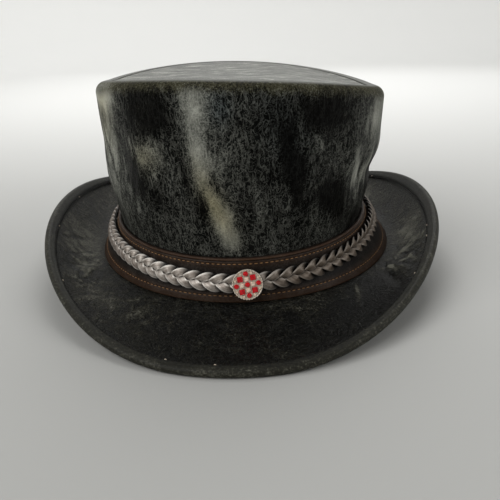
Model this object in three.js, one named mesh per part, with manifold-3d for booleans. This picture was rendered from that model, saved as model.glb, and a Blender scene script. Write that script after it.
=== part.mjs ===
// A short leather top hat for costume wear: an oval crown that widens to its top, a brim with its
// sides turned up and a bound edge, a leather hat band with a flat leather braid round it, and a
// small round pin set with red and clear stones. Millimetres, +Z up, the front faces -Y. The origin
// is on the surface that the hat rests on, under the middle of the brim.

import * as THREE from 'three';
import { mergeVertices } from 'three/addons/utils/BufferGeometryUtils.js';
import Module from 'manifold-3d';

// Head opening: half the inside width and length of the crown at its waist.
const headHalfWidth = 78.8;
const headHalfLength = 101.4;

// Leather, and the gap that separate pieces keep.
const crownWall = 2.3;
const tipThickness = 2.2;
const brimThickness = 2.2;
const gap = 0.3;

// Crown: heights over the brim, and how far the wall moves out from the waist.
const crownHeight = 103.6;
const waistHeight = 23.7;
const baseFlareLeft = 12.4;
const baseFlareRight = 16.5;
const baseFlareEnds = 4.8;
const topSpreadSides = 9.1;
const topSpreadEnds = 8.6;
const crownLean = 2.2;
const foldDepth = 3.2;

// Rim of the crown: its rounding, the lap that turns in over the tip, and its saddle.
const rimRadius = 6.5;
const rimLap = 3.4;
const lapThickness = 0.9;
const rimRise = 8.4;
const rimTilt = 2.7;
const rimRoll = 3.8;
const tipTuck = 2.8;
const tipDome = 1.6;

// Brim: reach of the leather past the head opening, and how its edge stands.
const brimReachSide = 46.7;
const brimReachEnds = 61.9;
const brimRise = 6.9;
const liftLeft = 33.4;
const liftRight = 35.1;
const creaseDepth = 1.6;
const ledgeMargin = 1.0;

// Binding folded over the edge of the brim.
const bindingWall = 1.0;
const bindingLap = 2.8;
const bindingPuff = 0.5;

// Hat band and braid.
const bandThickness = 2.3;
const bandWelt = 0.5;
const braidWidth = 10.8;
const braidThickness = 3.9;
const braidLeaf = 7.4;
const braidDrop = 13.2;
const braidSway = 4.6;

// Pin: a dished plate with a post behind it, and its stones.
const pinRadius = 8.1;
const pinDepth = 1.9;
const pinRimWidth = 0.45;
const pinRimHeight = 0.7;
const pinShift = 3.3;
const pinTurnDegrees = 8;
const postRadius = 1.4;
const stonePitch = 3.43;
const squareStone = 3.0;
const clearSquareStone = 2.5;
const redRoundStone = 2.8;
const clearRoundStone = 1.4;
const stoneHeight = 1.15;

// Numbers of facets.
const hatSteps = 52;
const postSides = 12;
const plateSides = 32;
const stoneSides = 8;

const FULL_TURN = Math.PI * 2;
const QUARTER_TURN = Math.PI / 2;
const FRONT = -QUARTER_TURN;

// The wall of the crown from waist to shoulder: share of the height, share of the spread.
const crownProfile = [
  { height: 0.0, spread: 0.0 },
  { height: 0.15, spread: 0.28 },
  { height: 0.28, spread: 0.5 },
  { height: 0.4, spread: 0.66 },
  { height: 0.55, spread: 0.8 },
  { height: 0.7, spread: 0.88 },
  { height: 0.85, spread: 0.95 },
  { height: 1.0, spread: 1.0 },
];

// Dents and soft folds of the crown. Angles in degrees round the hat from its right side, front at
// 270. Height is a share of the wall, depth a share of foldDepth, and a minus sign is a ridge.
const crownFolds = [
  { angle: 345, height: 0.4, depth: 0.75, halfAngle: 22, halfHeight: 0.11 },
  { angle: 343, height: 0.63, depth: -0.3, halfAngle: 22, halfHeight: 0.14 },
  { angle: 322, height: 0.42, depth: 0.75, halfAngle: 9, halfHeight: 0.22 },
  { angle: 304, height: 0.55, depth: 0.45, halfAngle: 8, halfHeight: 0.35 },
  { angle: 313, height: 0.6, depth: -0.4, halfAngle: 6, halfHeight: 0.3 },
  { angle: 281, height: 0.45, depth: 0.4, halfAngle: 9, halfHeight: 0.4 },
  { angle: 262, height: 0.5, depth: -0.35, halfAngle: 7, halfHeight: 0.45 },
  { angle: 249, height: 0.55, depth: 0.55, halfAngle: 7, halfHeight: 0.35 },
  { angle: 236, height: 0.5, depth: -0.45, halfAngle: 7, halfHeight: 0.4 },
  { angle: 222, height: 0.6, depth: 0.7, halfAngle: 8, halfHeight: 0.25 },
  { angle: 192, height: 0.34, depth: -0.2, halfAngle: 18, halfHeight: 0.16 },
  { angle: 195, height: 0.66, depth: 0.25, halfAngle: 14, halfHeight: 0.14 },
  { angle: 150, height: 0.5, depth: 0.45, halfAngle: 10, halfHeight: 0.3 },
  { angle: 118, height: 0.6, depth: -0.3, halfAngle: 9, halfHeight: 0.35 },
  { angle: 68, height: 0.45, depth: 0.5, halfAngle: 11, halfHeight: 0.3 },
  { angle: 30, height: 0.55, depth: 0.35, halfAngle: 10, halfHeight: 0.3 },
];

// Creases of the brim. Reach is a share of the way from the band to the edge, depth a share of
// creaseDepth, and a minus sign is a ridge.
const brimCreases = [
  { angle: 318, reach: 0.45, depth: 0.9, halfAngle: 4, halfReach: 0.35 },
  { angle: 325, reach: 0.5, depth: -0.7, halfAngle: 4, halfReach: 0.35 },
  { angle: 206, reach: 0.5, depth: 0.6, halfAngle: 4, halfReach: 0.35 },
  { angle: 216, reach: 0.45, depth: -0.45, halfAngle: 5, halfReach: 0.35 },
  { angle: 285, reach: 0.5, depth: 0.4, halfAngle: 8, halfReach: 0.3 },
  { angle: 245, reach: 0.55, depth: 0.35, halfAngle: 8, halfReach: 0.3 },
  { angle: 75, reach: 0.5, depth: 0.45, halfAngle: 9, halfReach: 0.3 },
];

// Outside of the band from its foot to its top: share of the height, share of bandWelt left out.
const bandRelief = [
  { height: 0.0, hollow: 0.8 },
  { height: 0.04, hollow: 0.0 },
  { height: 0.18, hollow: 0.0 },
  { height: 0.22, hollow: 1.0 },
  { height: 0.8, hollow: 1.0 },
  { height: 0.84, hollow: 0.0 },
  { height: 0.96, hollow: 0.0 },
  { height: 1.0, hollow: 0.8 },
];

// Section of the braid: share of half its width up the band, share of its thickness out from it.
const braidSection = [
  { across: -0.92, out: 0.0 },
  { across: -1.0, out: 0.35 },
  { across: -0.52, out: 1.0 },
  { across: 0.0, out: 0.66 },
  { across: 0.52, out: 1.0 },
  { across: 1.0, out: 0.35 },
  { across: 0.92, out: 0.0 },
];

// Stones of one quarter of the plate, in pitches across and up. The same rows, turned by quarters,
// give the others, and one more round red stone stands in the middle.
const quarterStones = [
  { kind: 'red_square', across: 1, up: 1 },
  { kind: 'red_round', across: 1.72, up: 0 },
  { kind: 'clear_square', across: 0.86, up: 0 },
  { kind: 'clear_round', across: 1.755, up: 0.856 },
  { kind: 'clear_round', across: 1.755, up: -0.856 },
];

// Shape of the brim's sweep, as shares.
const settleShare = 0.86;
const curlPower = 1.7;
const outlinePower = 2.05;
const liftPower = 1.15;
const liftShiftLeft = 0.125;
const liftShiftRight = 0.01;
const flatShare = 0.02;
const flarePower = 1.35;
const saddlePower = 1.6;
const swayPower = 0.6;

// Heights that follow from the sizes above.
const bindingReach = brimThickness / 2 + gap + bindingWall;
const footHeight = bindingReach + brimRise;
const crownBase = footHeight + brimThickness / 2 + gap;
const waistLevel = crownBase + waistHeight;

// Levels at which the skin of the crown is cut into facets: -1 is its foot, 0 the waist,
// 1 the shoulder, 2 the top of the rim's rounding and 3 the inner edge of the lap.
const baseLevels = [-1, -0.62, -0.28];
const wallLevels = [0, 0.12, 0.22, 0.32, 0.43, 0.55, 0.7, 0.85];
const rimLevels = [1, 1.35, 1.68, 2, 3];
const insideLevels = [0.82, 0.62, 0.45, 0.3, 0.15, 0];

function bell(distance, half) {
  return Math.exp(-((distance / half) ** 2));
}

function smooth(share) {
  return share * share * (3 - 2 * share);
}

function degreesApart(angle, degrees) {
  const apart = THREE.MathUtils.radToDeg(angle) - degrees;
  return THREE.MathUtils.euclideanModulo(apart + 180, 360) - 180;
}

// Reads a column of a table at a share of its height, with an even run between its rows.
function tableAt(rows, column, height) {
  let index = 1;
  while (index < rows.length - 1 && rows[index].height < height) index += 1;
  const low = rows[index - 1];
  const high = rows[index];
  const share = (height - low.height) / (high.height - low.height);
  return THREE.MathUtils.lerp(low[column], high[column], THREE.MathUtils.clamp(share, 0, 1));
}

// Outward direction in plan, square to the oval of the head opening.
function planNormal(angle) {
  const across = headHalfLength * Math.cos(angle);
  const along = headHalfWidth * Math.sin(angle);
  return new THREE.Vector3(across, along, 0).normalize();
}

// A point that lies an offset outside the oval of the head opening.
function ovalPoint(angle, offset, height) {
  const x = headHalfWidth * Math.cos(angle);
  const y = headHalfLength * Math.sin(angle);
  return new THREE.Vector3(x, y, height).addScaledVector(planNormal(angle), offset);
}

function sideShare(angle) {
  return Math.cos(angle) ** 2;
}

function baseFlare(angle) {
  const side = Math.cos(angle) < 0 ? baseFlareLeft : baseFlareRight;
  return THREE.MathUtils.lerp(baseFlareEnds, side, sideShare(angle));
}

function topSpread(angle) {
  return THREE.MathUtils.lerp(topSpreadEnds, topSpreadSides, sideShare(angle));
}

function rimHeight(angle) {
  const saddle = rimRise * Math.abs(Math.sin(angle)) ** saddlePower;
  const tilt = rimTilt * Math.sin(angle) + rimRoll * Math.cos(angle);
  return crownBase + crownHeight + saddle - tilt;
}

// Depth of all the dents and folds at a place on the wall. They fade out at waist and shoulder.
function foldsAt(angle, height) {
  let depth = 0;
  for (const fold of crownFolds) {
    const around = bell(degreesApart(angle, fold.angle), fold.halfAngle);
    depth += fold.depth * around * bell(height - fold.height, fold.halfHeight);
  }
  return foldDepth * depth * Math.sin(Math.PI * height) ** 0.5;
}

// The outer skin of the crown at an angle and a level.
function crownSkin(angle, level) {
  if (level < 0) {
    const flared = crownWall + baseFlare(angle) * (-level) ** flarePower;
    return ovalPoint(angle, flared, waistLevel + waistHeight * level);
  }
  const shoulderOffset = crownWall + topSpread(angle);
  const shoulder = rimHeight(angle) - rimRadius;
  let offset = shoulderOffset;
  let height = shoulder;
  if (level < 1) {
    offset = crownWall + topSpread(angle) * tableAt(crownProfile, 'spread', level);
    offset -= foldsAt(angle, level);
    height = THREE.MathUtils.lerp(waistLevel, shoulder, level);
  } else if (level < 2) {
    const turn = (level - 1) * QUARTER_TURN;
    offset -= rimRadius * (1 - Math.cos(turn));
    height += rimRadius * Math.sin(turn);
  } else {
    offset -= rimRadius + rimLap * (level - 2);
    height += rimRadius;
  }
  const point = ovalPoint(angle, offset, height);
  point.x += crownLean * smooth(Math.min(level, 1));
  return point;
}

// The outward direction of a surface, from two short steps on it.
function outward(surface, angle, level) {
  const step = 0.002;
  const around = surface(angle + step, level).sub(surface(angle - step, level));
  const along = surface(angle, level + step).sub(surface(angle, level - step));
  return around.cross(along).normalize();
}

// A point at a distance from the flared foot of the crown, moved level so that its foot stays flat.
function besideBase(angle, level, distance) {
  const plan = planNormal(angle);
  const lean = outward(crownSkin, angle, Math.min(level, -0.01)).dot(plan);
  return crownSkin(angle, level).addScaledVector(plan, distance / lean);
}

// The wall is pared thin round the rim, so that its lap lies nearly flush with the tip.
function wallAt(level) {
  return THREE.MathUtils.lerp(crownWall, lapThickness, THREE.MathUtils.smoothstep(level, 1.3, 2.1));
}

function crownInside(angle, level) {
  if (level <= 0) return besideBase(angle, level, -crownWall);
  return crownSkin(angle, level).addScaledVector(outward(crownSkin, angle, level), -wallAt(level));
}

function crownSection(angle) {
  const outer = [...baseLevels, ...wallLevels, ...rimLevels].map((level) => crownSkin(angle, level));
  const inner = [...rimLevels.toReversed(), ...insideLevels, ...baseLevels.toReversed()];
  return [...outer, ...inner.map((level) => crownInside(angle, level))];
}

// Top of the tip, the oval piece that closes the crown: share 0 is its middle and 1 its edge, which
// is tucked in under the lap of the rim.
function tipTop(angle, share) {
  const seat = rimHeight(angle) - lapThickness - gap;
  const middle = crownBase + crownHeight + rimRise / 2 - lapThickness - gap + tipDome;
  const flat = Math.min(1, share / 0.9) ** 2;
  const edge = ovalPoint(angle, crownWall + topSpread(angle) - rimRadius - rimLap + tipTuck, 0);
  const height = THREE.MathUtils.lerp(middle, seat, flat);
  return new THREE.Vector3(edge.x * share + crownLean, edge.y * share, height);
}

function tipSection(angle) {
  const top = [1, 0.9, 0.66, 0.34, 0].map((share) => tipTop(angle, share));
  const under = [0, 0.5, 0.9, 1].map((share) => tipTop(angle, share));
  for (const point of under) point.z -= tipThickness;
  return [...top, ...under];
}

// How far the edge of the brim is lifted: nothing at front and back, most a little behind the sides.
function liftShareAt(angle) {
  const shift = Math.cos(angle) < 0 ? liftShiftLeft : liftShiftRight;
  const fold = Math.atan2(Math.sin(angle), Math.abs(Math.cos(angle))) - shift;
  const share = Math.cos(THREE.MathUtils.clamp(fold, -QUARTER_TURN, QUARTER_TURN)) ** 2;
  return Math.max(0, (share - flatShare) / (1 - flatShare)) ** liftPower;
}

function signedPower(value, power) {
  return Math.sign(value) * Math.abs(value) ** power;
}

// Offset at which the brim leaves the flat ledge that the crown and the band stand on.
function ledgeOffset(angle) {
  const foot = besideBase(angle, -1, gap + bandThickness + ledgeMargin);
  return foot.sub(ovalPoint(angle, 0, crownBase)).dot(planNormal(angle));
}

// Outer edge of the brim's leather in plan.
function brimEdge(angle) {
  const x = (headHalfWidth + brimReachSide) * signedPower(Math.cos(angle), 2 / outlinePower);
  const y = (headHalfLength + brimReachEnds) * signedPower(Math.sin(angle), 2 / outlinePower);
  return new THREE.Vector3(x, y, footHeight);
}

function creasesAt(angle, level) {
  let depth = 0;
  for (const crease of brimCreases) {
    const around = bell(degreesApart(angle, crease.angle), crease.halfAngle);
    depth += crease.depth * around * bell(level - crease.reach, crease.halfReach);
  }
  return creaseDepth * depth * Math.sin(Math.PI * THREE.MathUtils.clamp(level, 0, 1));
}

// Middle of the brim's leather: level -1 is the head opening, 0 the end of the ledge, 1 the edge.
function brimMiddle(angle, level) {
  const foot = ovalPoint(angle, ledgeOffset(angle), footHeight);
  if (level < 0) return foot.lerp(ovalPoint(angle, 0, footHeight), -level);
  const lift = liftShareAt(angle);
  const side = Math.cos(angle) < 0 ? liftLeft : liftRight;
  const settle = 1 - (1 - Math.min(1, level / settleShare)) ** 2;
  const point = foot.lerp(brimEdge(angle), level);
  point.z -= brimRise * settle * (1 - lift);
  point.z += (side - brimRise) * lift * level ** curlPower;
  point.z -= creasesAt(angle, level);
  return point;
}

// The brim's surface runs inwards, so its outward direction is up.
function brimUp(angle, level) {
  return outward(brimMiddle, angle, level).negate();
}

function brimBeside(angle, level, distance) {
  return brimMiddle(angle, level).addScaledVector(brimUp(angle, level), distance);
}

// Level at which the binding ends on the brim.
function lapLevel(angle) {
  const sweep = brimEdge(angle).distanceTo(ovalPoint(angle, ledgeOffset(angle), footHeight));
  return 1 - bindingLap / sweep;
}

function brimSection(angle) {
  const lap = lapLevel(angle);
  const top = [1, lap, lap * 0.82, lap * 0.62, lap * 0.4, lap * 0.18, 0, -1];
  const under = [-1, 0, lap * 0.28, lap * 0.55, lap * 0.8, lap, 1];
  const half = brimThickness / 2;
  const upper = top.map((level) => brimBeside(angle, level, half));
  return [...upper, ...under.map((level) => brimBeside(angle, level, -half))];
}

// The binding is a U folded over the edge: underside, round nose, puffed top, then its inside.
function bindingSection(angle) {
  const lap = lapLevel(angle);
  const inside = brimThickness / 2 + gap;
  const up = brimUp(angle, 1);
  const edge = brimMiddle(angle, 1);
  const out = edge.clone().sub(brimMiddle(angle, lap)).normalize();
  const nose = edge.clone().addScaledVector(out, gap);
  const beside = (along, rise) => nose.clone().addScaledVector(out, along).addScaledVector(up, rise);
  const section = [brimBeside(angle, lap, -bindingReach)];
  for (const turn of [-1, -0.5, 0, 0.5, 1]) {
    const bend = turn * QUARTER_TURN;
    section.push(beside(bindingReach * Math.cos(bend), bindingReach * Math.sin(bend)));
  }
  section.push(brimBeside(angle, (1 + lap) / 2, bindingReach + bindingPuff));
  section.push(brimBeside(angle, lap, bindingReach));
  section.push(brimBeside(angle, lap, inside));
  section.push(beside(0, inside), beside(0, -inside));
  section.push(brimBeside(angle, lap, -inside));
  return section;
}

function bandSection(angle) {
  const outer = bandRelief.map((row) => {
    const thickness = bandThickness - bandWelt * row.hollow;
    return besideBase(angle, row.height - 1, gap + thickness);
  });
  const inner = [0, ...baseLevels.toReversed()].map((level) => besideBase(angle, level, gap));
  return [...outer, ...inner];
}

// The smooth outside of the band, which the braid lies on.
function bandFace(angle, level) {
  return besideBase(angle, level, gap + bandThickness);
}

// Height of the band along its own slope.
function bandHeight(angle) {
  return bandFace(angle, 0).distanceTo(bandFace(angle, -1));
}

// Level of the braid's middle: it hangs lowest at front and back, where the pin holds it.
function braidLevel(angle) {
  return (braidSway * sideShare(angle) ** swayPower - braidDrop) / bandHeight(angle);
}

// Angles at even distances along the middle of the braid.
function evenAngles() {
  const samples = 720;
  const middle = (index) => {
    const angle = (index / samples) * FULL_TURN;
    return bandFace(angle, braidLevel(angle));
  };
  const reached = [0];
  for (let index = 0; index < samples; index += 1) {
    reached.push(reached[index] + middle(index).distanceTo(middle(index + 1)));
  }
  const total = reached[samples];
  const angleAt = (distance) => {
    const turns = Math.floor(distance / total);
    const rest = distance - turns * total;
    let index = 1;
    while (reached[index] < rest) index += 1;
    const share = (rest - reached[index - 1]) / (reached[index] - reached[index - 1]);
    return (turns + (index - 1 + share) / samples) * FULL_TURN;
  };
  return { total, angleAt };
}

// The braid as one ring: two rows of leaves that alternate, and open like a row of arrowheads.
function braidSections() {
  const { total, angleAt } = evenAngles();
  const leaves = Math.round(total / braidLeaf);
  const steps = leaves * 2;
  const leaf = total / leaves;
  const sections = [];
  for (let step = 0; step < steps; step += 1) {
    sections.push(braidSection.map((row) => {
      const slant = Math.abs(row.across) * leaf * 0.6;
      const angle = angleAt((step / 2) * leaf + slant);
      const level = braidLevel(angle) + (row.across * braidWidth) / 2 / bandHeight(angle);
      const raised = step % 2 === (row.across > 0 ? 0 : 1);
      const share = raised ? 1 : 0.76;
      const out = gap + braidThickness * row.out * share;
      const face = bandFace(angle, level);
      return face.addScaledVector(outward(bandFace, angle, level), out);
    }));
  }
  return sections;
}

// Welds a closed surface's shared points, and drops triangles that have shrunk to a line.
function welded(geometry) {
  geometry.deleteAttribute('normal');
  geometry.deleteAttribute('uv');
  const merged = mergeVertices(geometry, 1e-4);
  const index = merged.index.array;
  const kept = [];
  for (let at = 0; at < index.length; at += 3) {
    const [a, b, c] = index.subarray(at, at + 3);
    if (a !== b && b !== c && c !== a) kept.push(a, b, c);
  }
  merged.setIndex(kept);
  merged.computeVertexNormals();
  return merged;
}

// How far up and out a point lies. Two surfaces that face each other across the gap split their
// quads along the same way up and out, so that their facets stay parallel.
function upAndOut(point) {
  return point.z + Math.hypot(point.x, point.y) / 2;
}

// A ring through closed sections, whose corners run up the outside and down the inside.
function ringThrough(sections) {
  const steps = sections.length;
  const corners = sections[0].length;
  const index = [];
  for (let step = 0; step < steps; step += 1) {
    const next = (step + 1) % steps;
    for (let corner = 0; corner < corners; corner += 1) {
      const after = (corner + 1) % corners;
      const a = step * corners + corner;
      const b = next * corners + corner;
      const c = next * corners + after;
      const d = step * corners + after;
      const rises = upAndOut(sections[step][after]) > upAndOut(sections[step][corner]);
      if (rises) index.push(a, b, d, b, c, d);
      else index.push(a, b, c, a, c, d);
    }
  }
  const ring = new THREE.BufferGeometry().setFromPoints(sections.flat());
  ring.setIndex(index);
  return welded(ring);
}

function sectionsRound(sectionAt) {
  const sections = [];
  for (let step = 0; step < hatSteps; step += 1) {
    sections.push(sectionAt((step / hatSteps) * FULL_TURN));
  }
  return sections;
}

// A solid turned round +Z from a profile of radius and height that starts and ends on the axis.
function turned(profile, sides) {
  const points = profile.map(([radius, height]) => new THREE.Vector2(radius, height));
  return welded(new THREE.LatheGeometry(points, sides).rotateX(QUARTER_TURN));
}

function material(color, roughness, metalness) {
  return new THREE.MeshStandardMaterial({ color, roughness, metalness });
}

const crownLeather = material('#1f201d', 0.5, 0);
const tipLeather = material('#3a3a36', 0.5, 0);
const brimLeather = material('#20201c', 0.45, 0);
const bindingLeather = material('#3d3c31', 0.55, 0);
const bandLeather = material('#33221b', 0.5, 0);
const braidLeather = material('#a39b92', 0.35, 0.5);
const setting = material('#d9d4ce', 0.2, 1);
const redGlass = material('#a80f1e', 0.1, 0);
const clearGlass = material('#e9e9ee', 0.1, 0);

function piece(name, geometry, finish) {
  const mesh = new THREE.Mesh(geometry, finish);
  mesh.name = name;
  return mesh;
}

const wasm = await Module();
wasm.setup();

function toSolid(geometry) {
  const vertProperties = Float32Array.from(geometry.attributes.position.array);
  const triVerts = Uint32Array.from(geometry.index.array);
  return new wasm.Manifold(new wasm.Mesh({ numProp: 3, vertProperties, triVerts }));
}

// Cuts one closed surface out of another.
function without(geometry, tool) {
  const mesh = toSolid(geometry).subtract(toSolid(tool)).getMesh();
  const cut = new THREE.BufferGeometry();
  cut.setAttribute('position', new THREE.BufferAttribute(mesh.vertProperties, mesh.numProp));
  cut.setIndex(Array.from(mesh.triVerts));
  cut.computeVertexNormals();
  return cut;
}

// The pin stands on the braid, square to the band, its up direction along the band and then turned.
const pinAngle = FRONT + Math.asin(pinShift / headHalfWidth);
const pinLevel = braidLevel(pinAngle);
const pinNormal = outward(bandFace, pinAngle, pinLevel);
const pinSide = new THREE.Vector3(0, 0, 1).cross(pinNormal).normalize();
const pinUp = pinNormal.clone().cross(pinSide);
const pinSeat = braidThickness + gap * 2;
const pinBack = bandFace(pinAngle, pinLevel).addScaledVector(pinNormal, pinSeat);
const postLength = pinSeat + bandThickness;

function pinFrame() {
  const frame = new THREE.Group();
  frame.position.copy(pinBack);
  frame.quaternion.setFromRotationMatrix(new THREE.Matrix4().makeBasis(pinSide, pinUp, pinNormal));
  frame.rotateZ(THREE.MathUtils.degToRad(pinTurnDegrees));
  frame.updateMatrixWorld(true);
  return frame;
}

// The hole that the post of the pin goes through, in the braid and in the band.
function postHole(frame) {
  const reach = postLength * 2;
  const hole = new THREE.CylinderGeometry(postRadius + gap, postRadius + gap, reach, postSides);
  hole.rotateX(QUARTER_TURN);
  return welded(hole.applyMatrix4(frame.matrixWorld));
}

// Plate and post in one: the post's end, the back, the outer edge, the rim and the dished floor.
function plateProfile() {
  const floor = pinDepth - pinRimHeight;
  const inner = pinRadius - pinRimWidth;
  const bevel = pinRimWidth / 2;
  return [
    [0, -postLength],
    [postRadius, -postLength],
    [postRadius, 0],
    [pinRadius - bevel, 0],
    [pinRadius, bevel],
    [pinRadius, pinDepth - bevel],
    [pinRadius - bevel, pinDepth],
    [inner, pinDepth - bevel / 2],
    [inner, floor],
    [0, floor],
  ];
}

// A stone with a flat base, a girdle, one or two rows of facets and a table.
function stoneGeometry(radius, sides, steps) {
  const profile = [[0, 0], [radius * 0.86, 0], [radius, stoneHeight * 0.3]];
  if (steps > 1) profile.push([radius * 0.86, stoneHeight * 0.7]);
  profile.push([radius * 0.6, stoneHeight], [0, stoneHeight]);
  return turned(profile, sides);
}

function squareGeometry(width) {
  return stoneGeometry(width / Math.SQRT2, 4, 2).rotateZ(Math.PI / 4);
}

function buildPin() {
  const pin = pinFrame();
  pin.add(piece('pin_plate', turned(plateProfile(), plateSides), setting));
  const kinds = {
    red_square: { shape: squareGeometry(squareStone), finish: redGlass },
    red_round: { shape: stoneGeometry(redRoundStone / 2, stoneSides, 1), finish: redGlass },
    clear_square: { shape: squareGeometry(clearSquareStone), finish: clearGlass },
    clear_round: { shape: stoneGeometry(clearRoundStone / 2, stoneSides, 1), finish: clearGlass },
  };
  const counts = {};
  const set = (kind, place) => {
    counts[kind] = (counts[kind] ?? 0) + 1;
    const stone = piece(`${kind}_${counts[kind]}`, kinds[kind].shape, kinds[kind].finish);
    stone.position.set(place.x, place.y, pinDepth - pinRimHeight + gap);
    pin.add(stone);
  };
  const middle = new THREE.Vector2(0, 0);
  set('red_round', middle);
  for (let quarter = 0; quarter < 4; quarter += 1) {
    for (const { kind, across, up } of quarterStones) {
      const place = new THREE.Vector2(across, up).multiplyScalar(stonePitch);
      set(kind, place.rotateAround(middle, quarter * QUARTER_TURN));
    }
  }
  return pin;
}

const hat = new THREE.Group();
const hole = postHole(pinFrame());
hat.add(piece('crown_side', ringThrough(sectionsRound(crownSection)), crownLeather));
hat.add(piece('crown_tip', ringThrough(sectionsRound(tipSection)), tipLeather));
hat.add(piece('brim', ringThrough(sectionsRound(brimSection)), brimLeather));
hat.add(piece('brim_binding', ringThrough(sectionsRound(bindingSection)), bindingLeather));
hat.add(piece('band', without(ringThrough(sectionsRound(bandSection)), hole), bandLeather));
hat.add(piece('braid', without(ringThrough(braidSections()), hole), braidLeather));
hat.add(buildPin());

export default hat;
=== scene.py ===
# A short leather top hat for costume wear, with a braided hat band and a stone-set pin.
# Lengths are metres in Blender's frame: +Z up, the front of the hat faces -Y.

import math

import bpy
import numpy as np
from bpy.props import FloatProperty, FloatVectorProperty, IntProperty, PointerProperty
from bpy.types import Operator, Panel, PropertyGroup
from mathutils import Matrix, Vector


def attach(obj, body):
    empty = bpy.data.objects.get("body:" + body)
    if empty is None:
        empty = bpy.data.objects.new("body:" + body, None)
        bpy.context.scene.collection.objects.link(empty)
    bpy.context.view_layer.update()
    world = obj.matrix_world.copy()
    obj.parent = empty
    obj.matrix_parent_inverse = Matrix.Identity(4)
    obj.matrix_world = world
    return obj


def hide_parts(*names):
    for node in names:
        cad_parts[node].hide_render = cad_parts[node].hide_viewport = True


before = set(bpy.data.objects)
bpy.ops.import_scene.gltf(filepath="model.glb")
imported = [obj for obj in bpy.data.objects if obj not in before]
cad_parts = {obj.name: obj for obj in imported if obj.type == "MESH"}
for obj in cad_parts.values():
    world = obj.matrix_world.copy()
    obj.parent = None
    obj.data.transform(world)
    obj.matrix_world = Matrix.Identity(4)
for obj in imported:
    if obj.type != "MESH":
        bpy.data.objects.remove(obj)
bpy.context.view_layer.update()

bl_info = {
    "name": "Leather Top Hat",
    "version": (1, 0, 0),
    "blender": (4, 5, 0),
    "location": "3D View > Sidebar > Hat",
    "description": "Makes a short leather top hat with a braided band and a round pin",
    "category": "Add Mesh",
}

MM = 0.001
TURN = 2 * math.pi
QUARTER = math.pi / 2

# A short step in angle or level, over which slopes are taken.
STEP = 0.002

# Columns of each piece's grid round the hat.
COLUMNS = {"crown": 440, "tip": 240, "brim": 480, "binding": 720, "band": 560, "floor": 96}

# Height of a wrinkle that is painted a full shade lighter, or depth of one painted a full shade
# darker: partly rubbed wear on the ridges, partly painted light on them and painted shade in the
# furrows, which make the wrinkles show.
CROWN_RUB_AND_SHADE = 0.55 * MM
BRIM_RUB_AND_SHADE = 0.5 * MM

# Where the binding's stitches run, as a share of the way from the brim's edge to its inner edge,
# and the groove that they lie in: its depth, and its half width as a share of the same way.
STITCH_SHARE = 0.8
GROOVE_DEPTH = 0.35 * MM
GROOVE_WIDTH = 0.13

# One of the binding's stitches in thirty has picked up pale dust.
DUSTY_SHARE = 0.033

# Where the band's two rows of stitches run, as shares of its height.
BAND_STITCHES = {"foot": 0.15, "top": 0.865}

# A strand of the braid: rings for each period, corners of its section, how far the section tilts
# with the crossing, and the power that makes it fuller than an ellipse.
STRAND_RINGS = 44
STRAND_CORNERS = 16
STRAND_TILT = 0.36
STRAND_FULLNESS = 0.55

# Seeds of the random draws.
CROWN_SEED, BRIM_SEED, DUST_SEED = 11, 23, 5


# Tables of the hat's form

# Wall of the crown from waist to shoulder: share of the height, share of the spread.
CROWN_PROFILE = (
    (0.0, 0.0),
    (0.15, 0.28),
    (0.28, 0.5),
    (0.4, 0.66),
    (0.55, 0.8),
    (0.7, 0.88),
    (0.85, 0.95),
    (1.0, 1.0),
)

# Dents and soft folds of the crown: angle in degrees round the hat from its right side, with the
# front at 270, height as a share of the wall, depth as a share of the fold depth, half angle, half
# height. A minus sign is a ridge.
CROWN_FOLDS = (
    (345, 0.4, 0.75, 22, 0.11),
    (343, 0.63, -0.3, 22, 0.14),
    (322, 0.42, 0.75, 9, 0.22),
    (304, 0.55, 0.45, 8, 0.35),
    (313, 0.6, -0.4, 6, 0.3),
    (281, 0.45, 0.4, 9, 0.4),
    (262, 0.5, -0.35, 7, 0.45),
    (249, 0.55, 0.55, 7, 0.35),
    (236, 0.5, -0.45, 7, 0.4),
    (222, 0.6, 0.7, 8, 0.25),
    (192, 0.34, -0.2, 18, 0.16),
    (195, 0.66, 0.25, 14, 0.14),
    (150, 0.5, 0.45, 10, 0.3),
    (118, 0.6, -0.3, 9, 0.35),
    (68, 0.45, 0.5, 11, 0.3),
    (30, 0.55, 0.35, 10, 0.3),
)

# Bundles of fine wrinkles: how many, angle and its spread, height and its spread, half angle, half
# height, depth in millimetres.
CROWN_WRINKLES = (
    (26, 208, 9, 0.62, 0.16, 1.0, 0.1, 0.3),
    (16, 228, 10, 0.5, 0.22, 1.3, 0.1, 0.22),
    (26, 262, 16, 0.4, 0.22, 1.2, 0.08, 0.2),
    (22, 324, 9, 0.42, 0.14, 1.1, 0.1, 0.32),
    (16, 300, 12, 0.4, 0.25, 1.3, 0.1, 0.2),
    (18, 345, 12, 0.5, 0.2, 1.3, 0.09, 0.28),
    (22, 150, 30, 0.5, 0.2, 1.3, 0.1, 0.22),
    (24, 75, 35, 0.45, 0.2, 1.3, 0.1, 0.22),
    (16, 25, 20, 0.5, 0.2, 1.3, 0.1, 0.22),
)

# Creases of the brim: angle, reach as a share of the way from the band to the edge, depth as a
# share of the crease depth, half angle, half reach, and for some a slant in degrees for the full
# reach.
BRIM_CREASES = (
    (322, 0.42, 0.9, 2.4, 0.3, 9),
    (327, 0.45, -0.7, 2.4, 0.3, 9),
    (204, 0.45, 0.7, 2.2, 0.3, -6),
    (209, 0.45, -0.5, 2.5, 0.3, -6),
    (217, 0.45, 0.35, 3, 0.3, 0),
    (285, 0.5, 0.4, 8, 0.3),
    (245, 0.55, 0.35, 8, 0.3),
    (75, 0.5, 0.45, 9, 0.3),
)

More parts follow.
